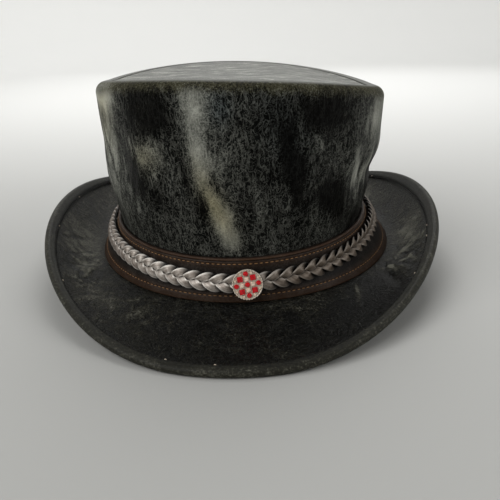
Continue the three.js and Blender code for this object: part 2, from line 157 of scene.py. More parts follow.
# Bundles of fine wrinkles of the brim, in the same columns as those of the crown.
BRIM_WRINKLES = (
    (44, 203, 10, 0.5, 0.22, 0.8, 0.18, 0.22),
    (60, 209, 6, 0.5, 0.2, 0.8, 0.05, 0.3),
    (50, 228, 14, 0.5, 0.3, 1.0, 0.09, 0.17),
    (50, 328, 10, 0.5, 0.28, 0.7, 0.13, 0.42),
    (40, 275, 25, 0.5, 0.3, 1.4, 0.08, 0.12),
    (30, 350, 15, 0.5, 0.3, 1.2, 0.07, 0.22),
    (50, 90, 70, 0.5, 0.3, 1.4, 0.08, 0.2),
)

# Places where the crown is lighter, or is left black with a minus sign: angle, height, shade, half
# angle, half height, slant in degrees for the full height. Most are rubbed light or black wax; the
# pale left edge and the light streak at the front are painted highlights, and the thin dark crease
# line is painted shade.
CROWN_SHADES = (
    (215, 1.02, 1.0, 8, 0.12, 0),
    # Painted highlight: the pale band down the left edge, where the wall reflects the light.
    (214, 0.55, 0.6, 8, 0.33, -8),
    (239, 0.9, -1.2, 9, 0.14, 0),
    (225, 0.8, 0.1, 6, 0.2, 0),
    (237, 0.64, 0.65, 6, 0.12, 0),
    (235, 0.46, -0.7, 7, 0.18, 40),
    (247, 0.4, 0.1, 4, 0.3, 10),
    # Painted highlight: the light vertical streak at the front, where soft folds catch the light.
    (257, 0.95, 0.85, 5, 0.13, 0),
    (258, 0.7, 0.65, 4, 0.15, 15),
    (261, 0.42, 0.75, 3.5, 0.18, 22),
    (265, 0.18, 0.75, 4, 0.13, 18),
    # Painted shade: a thin dark line in a crease.
    (258.5, 0.32, -0.8, 1.2, 0.1, 5),
    (252, 0.52, -0.4, 1.5, 0.2, 14),
    (267, 0.5, 0.25, 3, 0.35, 5),
    (275, 0.6, -0.15, 5, 0.4, 0),
    (200, 1.02, 0.9, 14, 0.14, 0),
    (343, 1.02, 0.6, 12, 0.14, 0),
    (299, 0.91, -1.1, 11, 0.12, 0),
    (288, 0.57, -0.95, 4.5, 0.3, 17),
    (300, 0.66, 0.2, 3.5, 0.14, 43),
    (326, 0.86, 0.75, 8, 0.14, 0),
    (337, 0.7, 0.6, 7, 0.2, 0),
    (323, 0.47, 1.2, 6, 0.13, 10),
    (306, 0.34, -0.9, 7, 0.18, 35),
    (324, 0.05, -0.6, 7, 0.1, 0),
    (345, 0.35, -0.4, 8, 0.14, 0),
    (180, 0.6, 0.4, 12, 0.3, 0),
    (150, 0.75, -0.7, 10, 0.2, -10),
    (128, 0.45, 0.6, 8, 0.25, 14),
    (100, 0.7, 0.5, 9, 0.22, -10),
    (84, 0.35, -0.7, 8, 0.2, 0),
    (62, 0.8, 0.5, 8, 0.15, 0),
    (40, 0.5, -0.6, 9, 0.25, -12),
    (15, 0.7, 0.4, 9, 0.22, 0),
)

# Places where the crown's grey turns tan, or blue with a minus sign, in the same columns.
CROWN_TINTS = (
    (262, 0.36, 1.0, 5, 0.22, 22),
    (237, 0.62, 0.6, 6, 0.12, 0),
    (211, 0.9, 0.5, 8, 0.25, -12),
    (265, 0.93, -0.9, 3.5, 0.1, 0),
    (284, 0.8, -0.5, 8, 0.3, 17),
    (128, 0.45, 0.7, 8, 0.25, 14),
)

# Places where the brim is rubbed light, or is left black with a minus sign: angle, reach, shade,
# half angle, half reach, and for some a slant in degrees for the full reach. The light places on
# the left are partly painted highlights, where the turned-up brim catches the light.
BRIM_SHADES = (
    (270, 0.5, -0.3, 34, 0.5),
    # Painted highlights over rubbed wear, where the left of the brim catches the light.
    (203, 0.4, 0.2, 13, 0.35),
    (222, 0.55, 0.35, 8, 0.35),
    (240, 0.45, 0.2, 5, 0.4),
    (312, 0.6, -0.85, 13, 0.4),
    (338, 0.42, 0.8, 1.3, 0.24, -12),
    (332, 0.55, 0.9, 0.9, 0.28, 14),
    (326, 0.4, 1.0, 1.0, 0.22, 10),
    (309, 0.3, 0.3, 4, 0.2),
    (350, 0.5, 0.7, 12, 0.4),
    (188, 0.5, 0.7, 11, 0.4),
    (30, 0.5, 0.5, 20, 0.4),
    (70, 0.5, -0.3, 14, 0.4),
    (105, 0.5, 0.3, 12, 0.3),
    (150, 0.5, 0.25, 22, 0.35),
)

# Outside of the band from its foot to its top: share of the height, share of the welt left out,
# share of brown in its colour.
BAND_RELIEF = (
    (0.0, 0.9, 0.8),
    (0.012, 0.5, 0.6),
    (0.03, 0.3, 0.4),
    (0.06, 0.22, 0.34),
    (0.125, 0.22, 0.32),
    (0.15, 0.45, 0.2),
    (0.175, 0.25, 0.3),
    (0.22, 0.35, 0.14),
    (0.5, 0.35, 0.06),
    (0.78, 0.35, 0.12),
    (0.84, 0.25, 0.26),
    (0.865, 0.45, 0.2),
    (0.89, 0.25, 0.34),
    (0.915, 0.3, 0.3),
    (0.935, 0.8, 0.06),
    (0.948, 0.1, 0.4),
    (0.968, -0.35, 0.75),
    (0.988, 0.1, 0.55),
    (1.0, 0.9, 0.3),
)


def length(name, description, millimetres):
    """A length that a user can set, given in millimetres."""
    return FloatProperty(
        name=name, description=description, default=millimetres * MM, unit="LENGTH", precision=5
    )


def rotation(name, description, radians):
    """An angle that a user can set, given in radians."""
    return FloatProperty(name=name, description=description, default=radians, unit="ROTATION")


def count(name, description, value):
    """A whole number that a user can set."""
    return IntProperty(name=name, description=description, default=value, min=3)


def linear(code):
    """Turns an sRGB hex colour into the linear red, green and blue that Blender works in."""
    parts = np.array([int(code[at : at + 2], 16) / 255 for at in (1, 3, 5)])
    low = parts / 12.92
    high = ((parts + 0.055) / 1.055) ** 2.4
    return tuple(float(part) for part in np.where(parts <= 0.04045, low, high))


def colour(name, description, code):
    """A colour that a user can set, given as sRGB hex."""
    return FloatVectorProperty(
        name=name,
        description=description,
        subtype="COLOR",
        size=3,
        min=0.0,
        max=1.0,
        default=linear(code),
    )


class CrownSizes(PropertyGroup):
    """Sizes of the crown."""

    head_half_width: length("Head half width", "Half the inside width at the waist", 78.8)
    head_half_length: length("Head half length", "Half the inside length at the waist", 101.4)
    wall: length("Wall", "Thickness of the side wall", 2.3)
    height: length("Height", "Height of the side wall over the brim", 103.6)
    waist: length("Waist", "Height of the narrowest ring over the brim", 23.7)
    flare_left: length("Left flare", "How far the foot widens at the wearer's right", 12.4)
    flare_right: length("Right flare", "How far the foot widens at the wearer's left", 16.5)
    flare_ends: length("End flare", "How far the foot widens at front and back", 4.8)
    spread_sides: length("Side spread", "How far the top widens at the sides", 9.1)
    spread_ends: length("End spread", "How far the top widens at front and back", 8.6)
    lean: length("Lean", "How far the top leans to one side", 2.2)
    fold_depth: length("Fold depth", "Depth of the deepest fold", 3.2)
    rim_radius: length("Rim radius", "Rounding of the top edge", 6.5)
    rim_lap: length("Rim lap", "Flat part that turns in over the tip", 3.4)
    lap_thickness: length("Lap thickness", "Thickness of the wall where it is pared", 0.9)
    rim_rise: length("Rim rise", "How much higher the rim is at front and back", 8.4)
    rim_tilt: length("Rim tilt", "How much the front is higher than the back, halved", 2.7)
    rim_roll: length("Rim roll", "How much the left is higher than the right, halved", 3.8)
    tip_thickness: length("Tip thickness", "Thickness of the top piece", 2.2)
    tip_tuck: length("Tip tuck", "How far the top piece goes under the lap", 2.8)
    tip_dome: length("Tip dome", "How high the top piece is domed", 1.6)


class BrimSizes(PropertyGroup):
    """Sizes of the brim and of its binding."""

    thickness: length("Thickness", "Thickness of the brim", 2.2)
    reach_sides: length("Side reach", "Reach past the head opening at the sides", 46.7)
    reach_ends: length("End reach", "Reach past the head opening at front and back", 61.9)
    rise: length("Rise", "How far front and back dip below the crown's foot", 6.9)
    lift_left: length("Left lift", "How far the left edge is turned up", 33.4)
    lift_right: length("Right lift", "How far the right edge is turned up", 35.1)
    crease_depth: length("Crease depth", "Depth of the deepest crease", 1.6)
    ledge: length("Ledge", "Flat margin round the band", 1.0)
    binding_wall: length("Binding wall", "Thickness of the folded strip", 1.0)
    binding_lap: length("Binding lap", "Width of the strip on the brim", 2.8)
    binding_puff: length("Binding puff", "How far the strip bulges", 0.5)
    stitch_pitch: length("Stitch pitch", "Distance between stitches of the binding", 2.7)
    stitch_length: length("Stitch length", "Length of one stitch", 1.6)
    stitch_radius: length("Stitch radius", "Radius of the thread", 0.4)


class BandSizes(PropertyGroup):
    """Sizes of the hat band and of the braid on it."""

    gap: length("Gap", "Gap between pieces", 0.3)
    thickness: length("Band thickness", "Thickness of the band", 2.3)
    welt: length("Welt", "How far the margins stand over the middle", 0.5)
    stitch_pitch: length("Stitch pitch", "Distance between stitches of the band", 2.9)
    stitch_length: length("Stitch length", "Length of one stitch", 2.15)
    stitch_radius: length("Stitch radius", "Radius of the thread", 0.26)
    braid_width: length("Braid width", "Width of the braid", 10.8)
    braid_thickness: length("Braid thickness", "Thickness of the braid", 3.9)
    braid_drop: length("Braid drop", "How far below the band's top it lies at the front", 13.2)
    braid_sway: length("Braid sway", "How much higher it lies at the sides", 4.6)
    strand_width: length("Strand width", "Width of one strand", 4.7)
    strand_thickness: length("Strand thickness", "Thickness of one strand", 1.25)
    periods: count("Periods", "Times that a strand crosses over and back", 28)


class PinSizes(PropertyGroup):
    """Sizes of the ring of beads on the rim of the round pin."""

    ring_radius: length("Ring radius", "Radius of the ring of beads on the plate's rim", 7.85)
    ring_beads: count("Ring beads", "Number of beads in the ring", 34)
    bead: length("Bead", "Radius of one bead", 0.34)


class LeatherColours(PropertyGroup):
    """Colours of the leathers, threads and metals."""

    crown_black: colour("Crown black", "Unworn leather of the crown", "#050504")
    crown_grey: colour("Crown grey", "Leather of the crown", "#1b1c1a")
    crown_light: colour("Crown light", "Rubbed leather of the crown", "#7c7d75")
    crown_pale: colour("Crown pale", "Most rubbed leather of the crown", "#adaea4")
    rim_dark: colour("Rim dark", "Leather of the crown's rim", "#1a1912")
    rim_olive: colour("Rim olive", "Rubbed rim of the crown", "#434130")
    # The tip's grey is a painted reflection of the bright room on the flat top, and its dark is
    # painted shade between its ripples.
    tip_sheen_grey: colour("Tip grey", "Leather of the tip", "#55564f")
    tip_ripple_shade: colour("Tip dark", "Streaks on the tip", "#10110f")
    brim_black: colour("Brim black", "Leather of the brim", "#1b1910")
    brim_light: colour("Brim light", "Rubbed leather of the brim", "#6c6b60")
    binding_dark: colour("Binding dark", "Leather of the binding", "#0d0d0a")
    binding: colour("Binding", "Rubbed leather of the binding", "#24231b")
    band_dark: colour("Band dark", "Middle of the band", "#120e0b")
    band_brown: colour("Band brown", "Margins of the band", "#483120")
    # Painted shade, with some dirt, in the braid's hollows.
    braid_soot_and_shade: colour("Braid soot", "Dirt in the braid's hollows", "#0c0a08")
    braid_dark: colour("Braid dark", "Worn face of the braid's strands", "#5a5149")
    braid_face: colour("Braid face", "Coated face of the braid's strands", "#a1968c")
    braid_brown: colour("Braid brown", "Dull foil on the braid's right side", "#5c4d3c")
    braid_edge: colour("Braid edge", "Cut edges of the braid's strands", "#efe9e0")
    tan_thread: colour("Tan thread", "Stitches of the band", "#9c7349")
    black_thread: colour("Black thread", "Stitches of the binding", "#070706")
    silver: colour("Silver", "Plated metal of the pin", "#f3e9d8")
    red_stone: colour("Red stone", "Red glass stones", "#e0081c")
    clear_stone: colour("Clear stone", "Clear glass stones", "#ffecd4")
    flesh: colour("Flesh side", "Suede side of the leather", "#2b2722")


class StageSettings(PropertyGroup):
    """Camera, floor and lights."""

    camera_across: length("Camera across", "Place of the camera along X", 8.203)
    camera_along: length("Camera along", "Place of the camera along Y", -378.505)
    camera_height: length("Camera height", "Place of the camera over the floor", 151.2)
    camera_pitch: rotation("Pitch", "How far the camera looks down", 0.390129)
    camera_yaw: rotation("Yaw", "How far the camera looks aside", -0.008957)
    camera_roll: rotation("Roll", "How far the camera is rolled", -0.031443)
    lens: FloatProperty(name="Lens", description="Focal length in mm", default=40.33)
    floor_radius: length("Floor radius", "Radius of the flat floor", 1700)
    wall_height: length("Wall height", "Height of the backdrop", 1500)
    paper: colour("Paper", "Backdrop", "#e4e4e2")
    # The floor in front of the hat is painted darker, as the shade that falls there.
    paper_near_shaded: colour("Near paper", "Floor in front of the hat", "#acaca9")


# Grids and meshes


def bell(distance, half):
    """A smooth hump: one at no distance, falling off within the half width."""
    return np.exp(-((distance / half) ** 2))


def eased(share):
    """A smooth step: goes from nought to one, level at both ends."""
    return share * share * (3 - 2 * share)


def signed_power(value, power):
    """A power of the value's size that keeps its sign."""
    return np.sign(value) * np.abs(value) ** power


def degrees_apart(angle, degrees):
    """How far an angle in radians lies from one in degrees, the short way round, in degrees."""
    return (np.degrees(angle) - degrees + 180) % 360 - 180


def read_table(rows, at):
    """Runs smoothly through a table's rows: between two rows a cubic takes the slopes of both."""
    heights, values = np.array(rows, float).T
    slopes = np.gradient(values, heights)
    low = np.clip(np.searchsorted(heights, at) - 1, 0, len(heights) - 2)
    span = heights[low + 1] - heights[low]
    step = np.clip((at - heights[low]) / span, 0, 1)
    ease = eased(step)
    lift = step * (1 - step) ** 2 * slopes[low] - step**2 * (1 - step) * slopes[low + 1]
    return values[low] * (1 - ease) + values[low + 1] * ease + span * lift


def relief(angle, height, rows):
    """Sums the humps of a table's folds at each place: angle, height, depth, half angle and half
    height, and as a sixth column a slant in degrees for the full height."""
    total = np.zeros(np.broadcast(angle, height).shape)
    for at_angle, at_height, depth, half_angle, half_height, *slant in rows:
        shift = slant[0] * (height - at_height) if slant else 0
        around = bell(degrees_apart(angle, at_angle) + shift, half_angle)
        total += depth * around * bell(height - at_height, half_height)
    return total


def scattered(rows, seed):
    """Draws single wrinkles from a table of bundles, half of them ridges, each with its own
    place, size and slant round the bundle's."""
    draw = np.random.default_rng(seed)
    wrinkles = []
    for number, angle, angle_spread, height, height_spread, half_angle, half_height, depth in rows:
        for _ in range(number):
            wrinkles.append((
                angle + angle_spread * draw.normal(),
                height + height_spread * draw.normal(),
                depth * MM * draw.choice((-1, 1)) * draw.uniform(0.4, 1.0),
                half_angle * draw.uniform(0.6, 1.5),
                half_height * draw.uniform(0.5, 1.6),
                draw.normal() * 14,
            ))
    return wrinkles


def grid_lines(first, *runs):
    """Places of grid lines from a first one on. Each run is given as its end and its number of
    lines, and only the last run has a line at its end."""
    lines = []
    for number, (last, steps) in enumerate(runs, 1):
        lines.append(np.linspace(first, last, steps, endpoint=number == len(runs)))
        first = last
    return np.concatenate(lines)


def grid_faces(around, along, close_around=True, close_along=True):
    """Corner numbers of a grid's quads, with its last row and column joined to the first."""
    columns = np.arange(around if close_around else around - 1)
    rows = np.arange(along if close_along else along - 1)
    column, row = np.meshgrid(columns, rows, indexing="ij")
    after_column = (column + 1) % around
    after_row = (row + 1) % along
    corners = (
        column * along + row,
        after_column * along + row,
        after_column * along + after_row,
        column * along + after_row,
    )
    return np.stack(corners, -1).reshape(-1, 4)


def make_object(name, points, faces, material, attributes=None, uv=None, triangles=None):
    """A smooth mesh object at the origin, from arrays of points and of quads and triangles."""
    mesh = bpy.data.meshes.new(name)
    points = np.asarray(points, np.float32).reshape(-1, 3)
    quads = np.asarray(faces, np.int32).reshape(-1, 4)
    loops = quads.ravel()
    sizes = np.full(len(quads), 4)
    if triangles is not None:
        triangles = np.asarray(triangles, np.int32).reshape(-1, 3)
        loops = np.concatenate([loops, triangles.ravel()])
        sizes = np.concatenate([sizes, np.full(len(triangles), 3)])
    mesh.vertices.add(len(points))
    mesh.vertices.foreach_set("co", points.ravel())
    mesh.loops.add(len(loops))
    mesh.loops.foreach_set("vertex_index", loops.astype(np.int32))
    mesh.polygons.add(len(sizes))
    starts = np.concatenate([[0], np.cumsum(sizes)[:-1]])
    mesh.polygons.foreach_set("loop_start", starts.astype(np.int32))
    mesh.update(calc_edges=True)
    mesh.polygons.foreach_set("use_smooth", np.ones(len(sizes), bool))
    for key, values in (attributes or {}).items():
        layer = mesh.attributes.new(key, "FLOAT", "POINT")
        filled = np.broadcast_to(values, points.shape[:1]) if np.ndim(values) < 2 else values
        layer.data.foreach_set("value", np.asarray(filled, np.float32).ravel())
    if uv is not None:
        layer = mesh.uv_layers.new(name="Lay")
        layer.data.foreach_set("uv", np.asarray(uv, np.float32).ravel())
    mesh.validate()
    mesh.materials.append(material)
    made = bpy.data.objects.new(name, mesh)
    bpy.context.scene.collection.objects.link(made)
    return made


def grid_uv(along_edges, across_edges):
    """UV of each corner of a closed ring's quads, from the places of its grid lines in metres."""
    u0, v0 = np.meshgrid(along_edges[:-1], across_edges[:-1], indexing="ij")
    u1, v1 = np.meshgrid(along_edges[1:], across_edges[1:], indexing="ij")
    corners = np.stack([u0, v0, u1, v0, u1, v1, u0, v1], -1)
    return corners.reshape(-1, 2)


def dress(made, node=None):
    """Lets a finished piece ride on the hat's one body, and takes the place
    of a node where one is named."""
    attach(made, "root")
    if node:
        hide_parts(node)
    return made


def unit(vectors):
    """The directions of vectors."""
    return vectors / np.linalg.norm(vectors, axis=-1, keepdims=True)


def outward(surface, angle, level):
    """Outward direction of a surface, square to two short steps on it."""
    around = surface(angle + STEP, level) - surface(angle - STEP, level)
    along = surface(angle, level + STEP) - surface(angle, level - STEP)
    return unit(np.cross(around, along))


# The hat's form, worked out from its sizes


class HatForm:
    """The hat's surfaces. Angles run round the hat from its right side, and levels up or out."""

    # The brim: the level by which front and back have dipped, the powers of its curl, its outline
    # and its lift, how far in radians the lift's middle lies from each side, and the share of the
    # lift that is left out at front and back.
    settle = 0.86
    curl = 1.7
    outline = 2.05
    lift_power = 1.15
    lift_shift_left = 0.125
    lift_shift_right = 0.01
    flat_share = 0.02
    # The powers of the foot's flare, of the rim's saddle and of the braid's sway.
    flare_power = 1.35
    saddle_power = 1.6
    sway_power = 0.6
    # The crown's wall is pared from this level on, over this run of levels.
    pare_from = 1.3
    pare_run = 0.8
    # The tip, as shares of the way to its edge: the end of its dome, and where it begins to swell
    # up beside the lap and over how much of the way.
    dome_end = 0.9
    swell_end = 0.964
    swell_run = 0.02

    def __init__(self, scene):
        self.crown = scene.hat_crown
        self.brim = scene.hat_brim
        self.band = scene.hat_band
        half = self.brim.thickness / 2
        self.binding_reach = half + self.band.gap + self.brim.binding_wall
        self.foot_height = self.binding_reach + self.brim.rise
        self.crown_base = self.foot_height + half + self.band.gap
        self.waist_level = self.crown_base + self.crown.waist
        self.wrinkles = scattered(CROWN_WRINKLES, CROWN_SEED)
        self.brim_wrinkles = scattered(BRIM_WRINKLES, BRIM_SEED)

    def plan_normal(self, angle):
        """Outward direction in plan, square to the oval of the head opening."""
        across = self.crown.head_half_length * np.cos(angle)
        along = self.crown.head_half_width * np.sin(angle)
        size = np.hypot(across, along)
        return np.stack([across / size, along / size, np.zeros_like(size)], -1)

    def oval(self, angle, offset, height):
        """A point an offset outside the oval of the head opening."""
        angle, offset, height = np.broadcast_arrays(angle, offset, height)
        x = self.crown.head_half_width * np.cos(angle)
        y = self.crown.head_half_length * np.sin(angle)
        return np.stack([x, y, height], -1) + self.plan_normal(angle) * offset[..., None]

    def base_flare(self, angle):
        """Widening of the foot: from that of the ends to that of the sides by cosine squared."""
        c = self.crown
        side = np.where(np.cos(angle) < 0, c.flare_left, c.flare_right)
        return c.flare_ends + (side - c.flare_ends) * np.cos(angle) ** 2

    def top_spread(self, angle):
        """Widening of the top, by the same rule."""
        c = self.crown
        return c.spread_ends + (c.spread_sides - c.spread_ends) * np.cos(angle) ** 2

    def rim_height(self, angle):
        """Height of the rim: a saddle that is higher at front and back, tilted and rolled."""
        c = self.crown
        saddle = c.rim_rise * np.abs(np.sin(angle)) ** self.saddle_power
        tilt = c.rim_tilt * np.sin(angle) + c.rim_roll * np.cos(angle)
        return self.crown_base + c.height + saddle - tilt

    def folds(self, angle, height):
        """Depth of the dents and folds of the crown, which fade out at waist and shoulder."""
        depth = self.crown.fold_depth * relief(angle, height, CROWN_FOLDS)
        return depth * np.sin(np.pi * height) ** 0.5

    def crown_skin(self, angle, level):
        """Outer skin of the crown: level -1 is its foot, 0 the waist, 1 the shoulder, 2 the top of
        the rim's rounding and 3 the inner edge of the lap."""
        c = self.crown
        angle, level = np.broadcast_arrays(angle, level)
        wall = np.clip(level, 0, 1)
        turn = np.clip(level - 1, 0, 1) * QUARTER
        shoulder = self.rim_height(angle) - c.rim_radius
        offset = c.wall + self.top_spread(angle) * read_table(CROWN_PROFILE, wall)
        offset = offset - self.folds(angle, wall)
        offset = offset + self.base_flare(angle) * np.clip(-level, 0, None) ** self.flare_power
        offset = offset - c.rim_radius * (1 - np.cos(turn))
        offset = offset - c.rim_lap * np.clip(level - 2, 0, None)
        height = self.waist_level + c.waist * np.minimum(level, 0)
        height = height + (shoulder - self.waist_level) * wall + c.rim_radius * np.sin(turn)
        points = self.oval(angle, offset, height)
        points[..., 0] += c.lean * eased(wall)
        return points

    def beside_base(self, angle, level, distance):
        """A point at a distance from the flared foot of the crown, moved level."""
        angle, level = np.broadcast_arrays(angle, level)
        plan = self.plan_normal(angle)
        lean = (outward(self.crown_skin, angle, np.minimum(level, -0.01)) * plan).sum(-1)
        return self.crown_skin(angle, level) + plan * (distance / lean)[..., None]

    def crown_inside(self, angle, level):
        """Inner skin of the crown, a wall's thickness in from the outer one. The wall is pared
        thin round the rim, so that its lap lies nearly flush with the tip."""
        c = self.crown
        angle, level = np.broadcast_arrays(angle, level)
        pared = eased(np.clip((level - self.pare_from) / self.pare_run, 0, 1))
        wall = (c.wall + (c.lap_thickness - c.wall) * pared)[..., None]
        inner = self.crown_skin(angle, level) - outward(self.crown_skin, angle, level) * wall
        return np.where(level[..., None] <= 0, self.beside_base(angle, level, -c.wall), inner)

    def tip_top(self, angle, part):
        """Top of the tip: its middle is a low dome, and its edge is tucked in under the lap. Just
        inside the lap it swells until it is flush with it."""
        c = self.crown
        drop = c.lap_thickness + self.band.gap
        seat = self.rim_height(angle) - drop
        middle = self.crown_base + c.height + c.rim_rise / 2 - drop + c.tip_dome
        tuck = c.wall + self.top_spread(angle) - c.rim_radius - c.rim_lap + c.tip_tuck
        edge = self.oval(angle, tuck, 0)
        flat = np.minimum(1, part / self.dome_end) ** 2
        swell = eased(np.clip((self.swell_end - part) / self.swell_run, 0, 1))
        height = middle + (seat - middle) * flat + drop * swell * part**2
        return np.stack([edge[..., 0] * part + c.lean, edge[..., 1] * part, height], -1)

    def lift_share(self, angle):
        """How far the edge of the brim is lifted: not at front and back, most near the sides."""
        shift = np.where(np.cos(angle) < 0, self.lift_shift_left, self.lift_shift_right)
        fold = np.arctan2(np.sin(angle), np.abs(np.cos(angle))) - shift
        lifted = np.cos(np.clip(fold, -QUARTER, QUARTER)) ** 2
        return np.maximum(0, (lifted - self.flat_share) / (1 - self.flat_share)) ** self.lift_power

    def ledge_offset(self, angle):
        """Offset at which the brim leaves the flat ledge round the band."""
        reach = self.band.gap + self.band.thickness + self.brim.ledge
        foot = self.beside_base(angle, -1.0, reach) - self.oval(angle, 0.0, self.crown_base)
        return (foot * self.plan_normal(angle)).sum(-1)

    def brim_edge(self, angle):
        """Outer edge of the brim in plan, an oval a little fuller than an ellipse."""
        c = self.crown
        power = 2 / self.outline
        across = signed_power(np.cos(angle), power)
        along = signed_power(np.sin(angle), power)
        x = (c.head_half_width + self.brim.reach_sides) * across
        y = (c.head_half_length + self.brim.reach_ends) * along
        return np.stack([x, y, np.full_like(x, self.foot_height)], -1)

    def brim_middle(self, angle, level):
        """Middle of the brim's leather: level -1 is the head opening, 0 the end of the ledge, 1 the
        edge. It dips at front and back and curls up at the sides, less the creases."""
        b = self.brim
        angle, level = np.broadcast_arrays(angle, level)
        foot = self.oval(angle, self.ledge_offset(angle), self.foot_height)
        inside = self.oval(angle, 0.0, self.foot_height)
        inward = np.clip(-level, 0, None)[..., None]
        out = np.clip(level, 0, None)
        lift = self.lift_share(angle)
        side = np.where(np.cos(angle) < 0, b.lift_left, b.lift_right)
        settle = 1 - (1 - np.minimum(1, out / self.settle)) ** 2
        points = foot + (inside - foot) * inward + (self.brim_edge(angle) - foot) * out[..., None]
        creases = relief(angle, level, BRIM_CREASES) * b.crease_depth
        points[..., 2] -= b.rise * settle * (1 - lift)
        points[..., 2] += (side - b.rise) * lift * out**self.curl
        points[..., 2] -= creases * np.sin(np.pi * np.clip(out, 0, 1))
        return points

    def brim_beside(self, angle, level, distance):
        """A point at a distance over the brim's middle, which runs inwards."""
        angle, level, distance = np.broadcast_arrays(angle, level, distance)
        up = -outward(self.brim_middle, angle, level)
        return self.brim_middle(angle, level) + up * distance[..., None]

    def lap_level(self, angle):
        """Level at which the binding ends on the brim."""
        foot = self.oval(angle, self.ledge_offset(angle), self.foot_height)
        return 1 - self.brim.binding_lap / np.linalg.norm(self.brim_edge(angle) - foot, axis=-1)

    def band_face(self, angle, level):
        """Smooth outside of the band, which the braid lies on."""
        return self.beside_base(angle, level, self.band.gap + self.band.thickness)

    def band_height(self, angle):
        """Height of the band along its own slope."""
        return np.linalg.norm(self.band_face(angle, 0.0) - self.band_face(angle, -1.0), axis=-1)

    def braid_level(self, angle):
        """Level of the braid's middle: lowest at front and back, where the pin holds it."""
        sway = self.band.braid_sway * (np.cos(angle) ** 2) ** self.sway_power
        return (sway - self.band.braid_drop) / self.band_height(angle)

    def run_along(self, line, samples=1440):
        """Angles and the distances reached at them along a closed line round the hat."""
        angles = np.linspace(0, TURN, samples + 1)
        points = line(angles)
        steps = np.linalg.norm(np.diff(points, axis=0), axis=1)
        return angles, np.concatenate([[0], np.cumsum(steps)])

    def spaced_along(self, line, pitch):
        """Angles of even places along a closed line, about a pitch apart."""
        angles, reached = self.run_along(line)
        places = round(reached[-1] / pitch)
        return np.interp(np.arange(places) * reached[-1] / places, reached, angles)


def angles_round(steps):
    """Even angles round the hat, as a column."""
    return np.linspace(0, TURN, steps, endpoint=False)[:, None]


# Materials


def add_node(tree, kind, inputs=None, **settings):
    """Adds a node, sets its properties, and fills or links its inputs by name or number."""
    node = tree.nodes.new(kind)
    for key, value in settings.items():
        setattr(node, key, value)
    for key, value in (inputs or {}).items():
        if isinstance(value, bpy.types.NodeSocket):
            tree.links.new(value, node.inputs[key])
        else:
            node.inputs[key].default_value = value
    return node


def new_material(name, roughness, **inputs):
    """A material with its shader, both ready for their pattern. Constants are set on the shader."""
    material = bpy.data.materials.new(name)
    material.use_nodes = True
    tree = material.node_tree
    shader = tree.nodes["Principled BSDF"]
    shader.inputs["Roughness"].default_value = roughness
    for key, value in inputs.items():
        shader.inputs[key.replace("_", " ")].default_value = value
    return material, tree, shader


def link_inputs(tree, shader, **sockets):
    """Links sockets to the shader's inputs, whose names are given with underscores."""
    for key, socket in sockets.items():
        tree.links.new(socket, shader.inputs[key.replace("_", " ")])


def compute(tree, operation, *values):
    """Result of a calculation on values or sockets."""
    node = add_node(tree, "ShaderNodeMath", dict(enumerate(values)), operation=operation)
    return node.outputs[0]


def ramp(tree, factor, stops):
    """A colour ramp through stops of place and linear colour."""
    node = add_node(tree, "ShaderNodeValToRGB", {"Fac": factor})
    elements = node.color_ramp.elements
    while len(elements) < len(stops):
        elements.new(0.5)
    for element, (place, shade) in zip(elements, stops):
        element.position = place
        element.color = (*shade, 1.0)
    return node.outputs["Color"]


def noise(tree, vector, size, detail=3.0, roughness=0.55, distortion=0.0):
    """Soft noise with features of a size in millimetres."""
    inputs = {
        "Vector": vector,
        "Scale": 1 / (size * MM),
        "Detail": detail,
        "Roughness": roughness,
        "Distortion": distortion,
    }
    return add_node(tree, "ShaderNodeTexNoise", inputs).outputs["Fac"]


def weighted(tree, pairs, base=0.0):
    """Sum of values, each less a half and times its weight, on a base value or socket."""
    total = base
    for value, weight in pairs:
        centred = compute(tree, "SUBTRACT", value, 0.5)
        total = compute(tree, "MULTIPLY_ADD", centred, weight, total)
    return total


def attribute(tree, name):
    """A value that the mesh carries at each point."""
    return add_node(tree, "ShaderNodeAttribute", attribute_name=name).outputs["Fac"]


def mix_colour(tree, factor, first, second, blend="MIX"):
    """Blends two colours, given as sockets or linear colours."""
    node = add_node(tree, "ShaderNodeMix", data_type="RGBA", blend_type=blend)
    for key, value in ((0, factor), (6, first), (7, second)):
        if isinstance(value, bpy.types.NodeSocket):
            tree.links.new(value, node.inputs[key])
        else:
            node.inputs[key].default_value = value if key == 0 else (*value, 1.0)
    return node.outputs[2]


def object_vector(tree, stretch=(1.0, 1.0, 1.0)):
    """The place on the object, stretched so that a pattern grows long where the scale is small."""
    place = add_node(tree, "ShaderNodeTexCoord").outputs["Object"]
    node = add_node(tree, "ShaderNodeMapping", {"Vector": place, "Scale": stretch})
    return node.outputs["Vector"]


def bumps(tree, shader, layers):
    """Chains bump nodes, each from a height, its depth in millimetres and its strength."""
    normal = None
    for height, depth, strength in layers:
        inputs = {"Height": height, "Distance": depth * MM, "Strength": strength}
        if normal is not None:
            inputs["Normal"] = normal
        normal = add_node(tree, "ShaderNodeBump", inputs).outputs["Normal"]
    tree.links.new(normal, shader.inputs["Normal"])


def spread(tree, value, low, high, to_low=0.0, to_high=1.0):
    """Maps a value from one range to another, held at its ends."""
    inputs = {"Value": value, 1: low, 2: high, 3: to_low, 4: to_high}
    return add_node(tree, "ShaderNodeMapRange", inputs).outputs["Result"]


def hairlines(tree, vector, size, width, distortion=0.6):
    """Thin winding lines, one where they run and zero off them: the places where a noise passes
    through its middle value. The width is a share of the noise's range."""
    middle = noise(tree, vector, size, detail=3, roughness=0.6, distortion=distortion)
    apart = compute(tree, "ABSOLUTE", compute(tree, "SUBTRACT", middle, 0.5))
    return spread(tree, apart, 0.0, width, 1.0, 0.0)


def darker(shade, share):
    """A linear colour with a share of its light."""
    return tuple(part * share for part in shade)


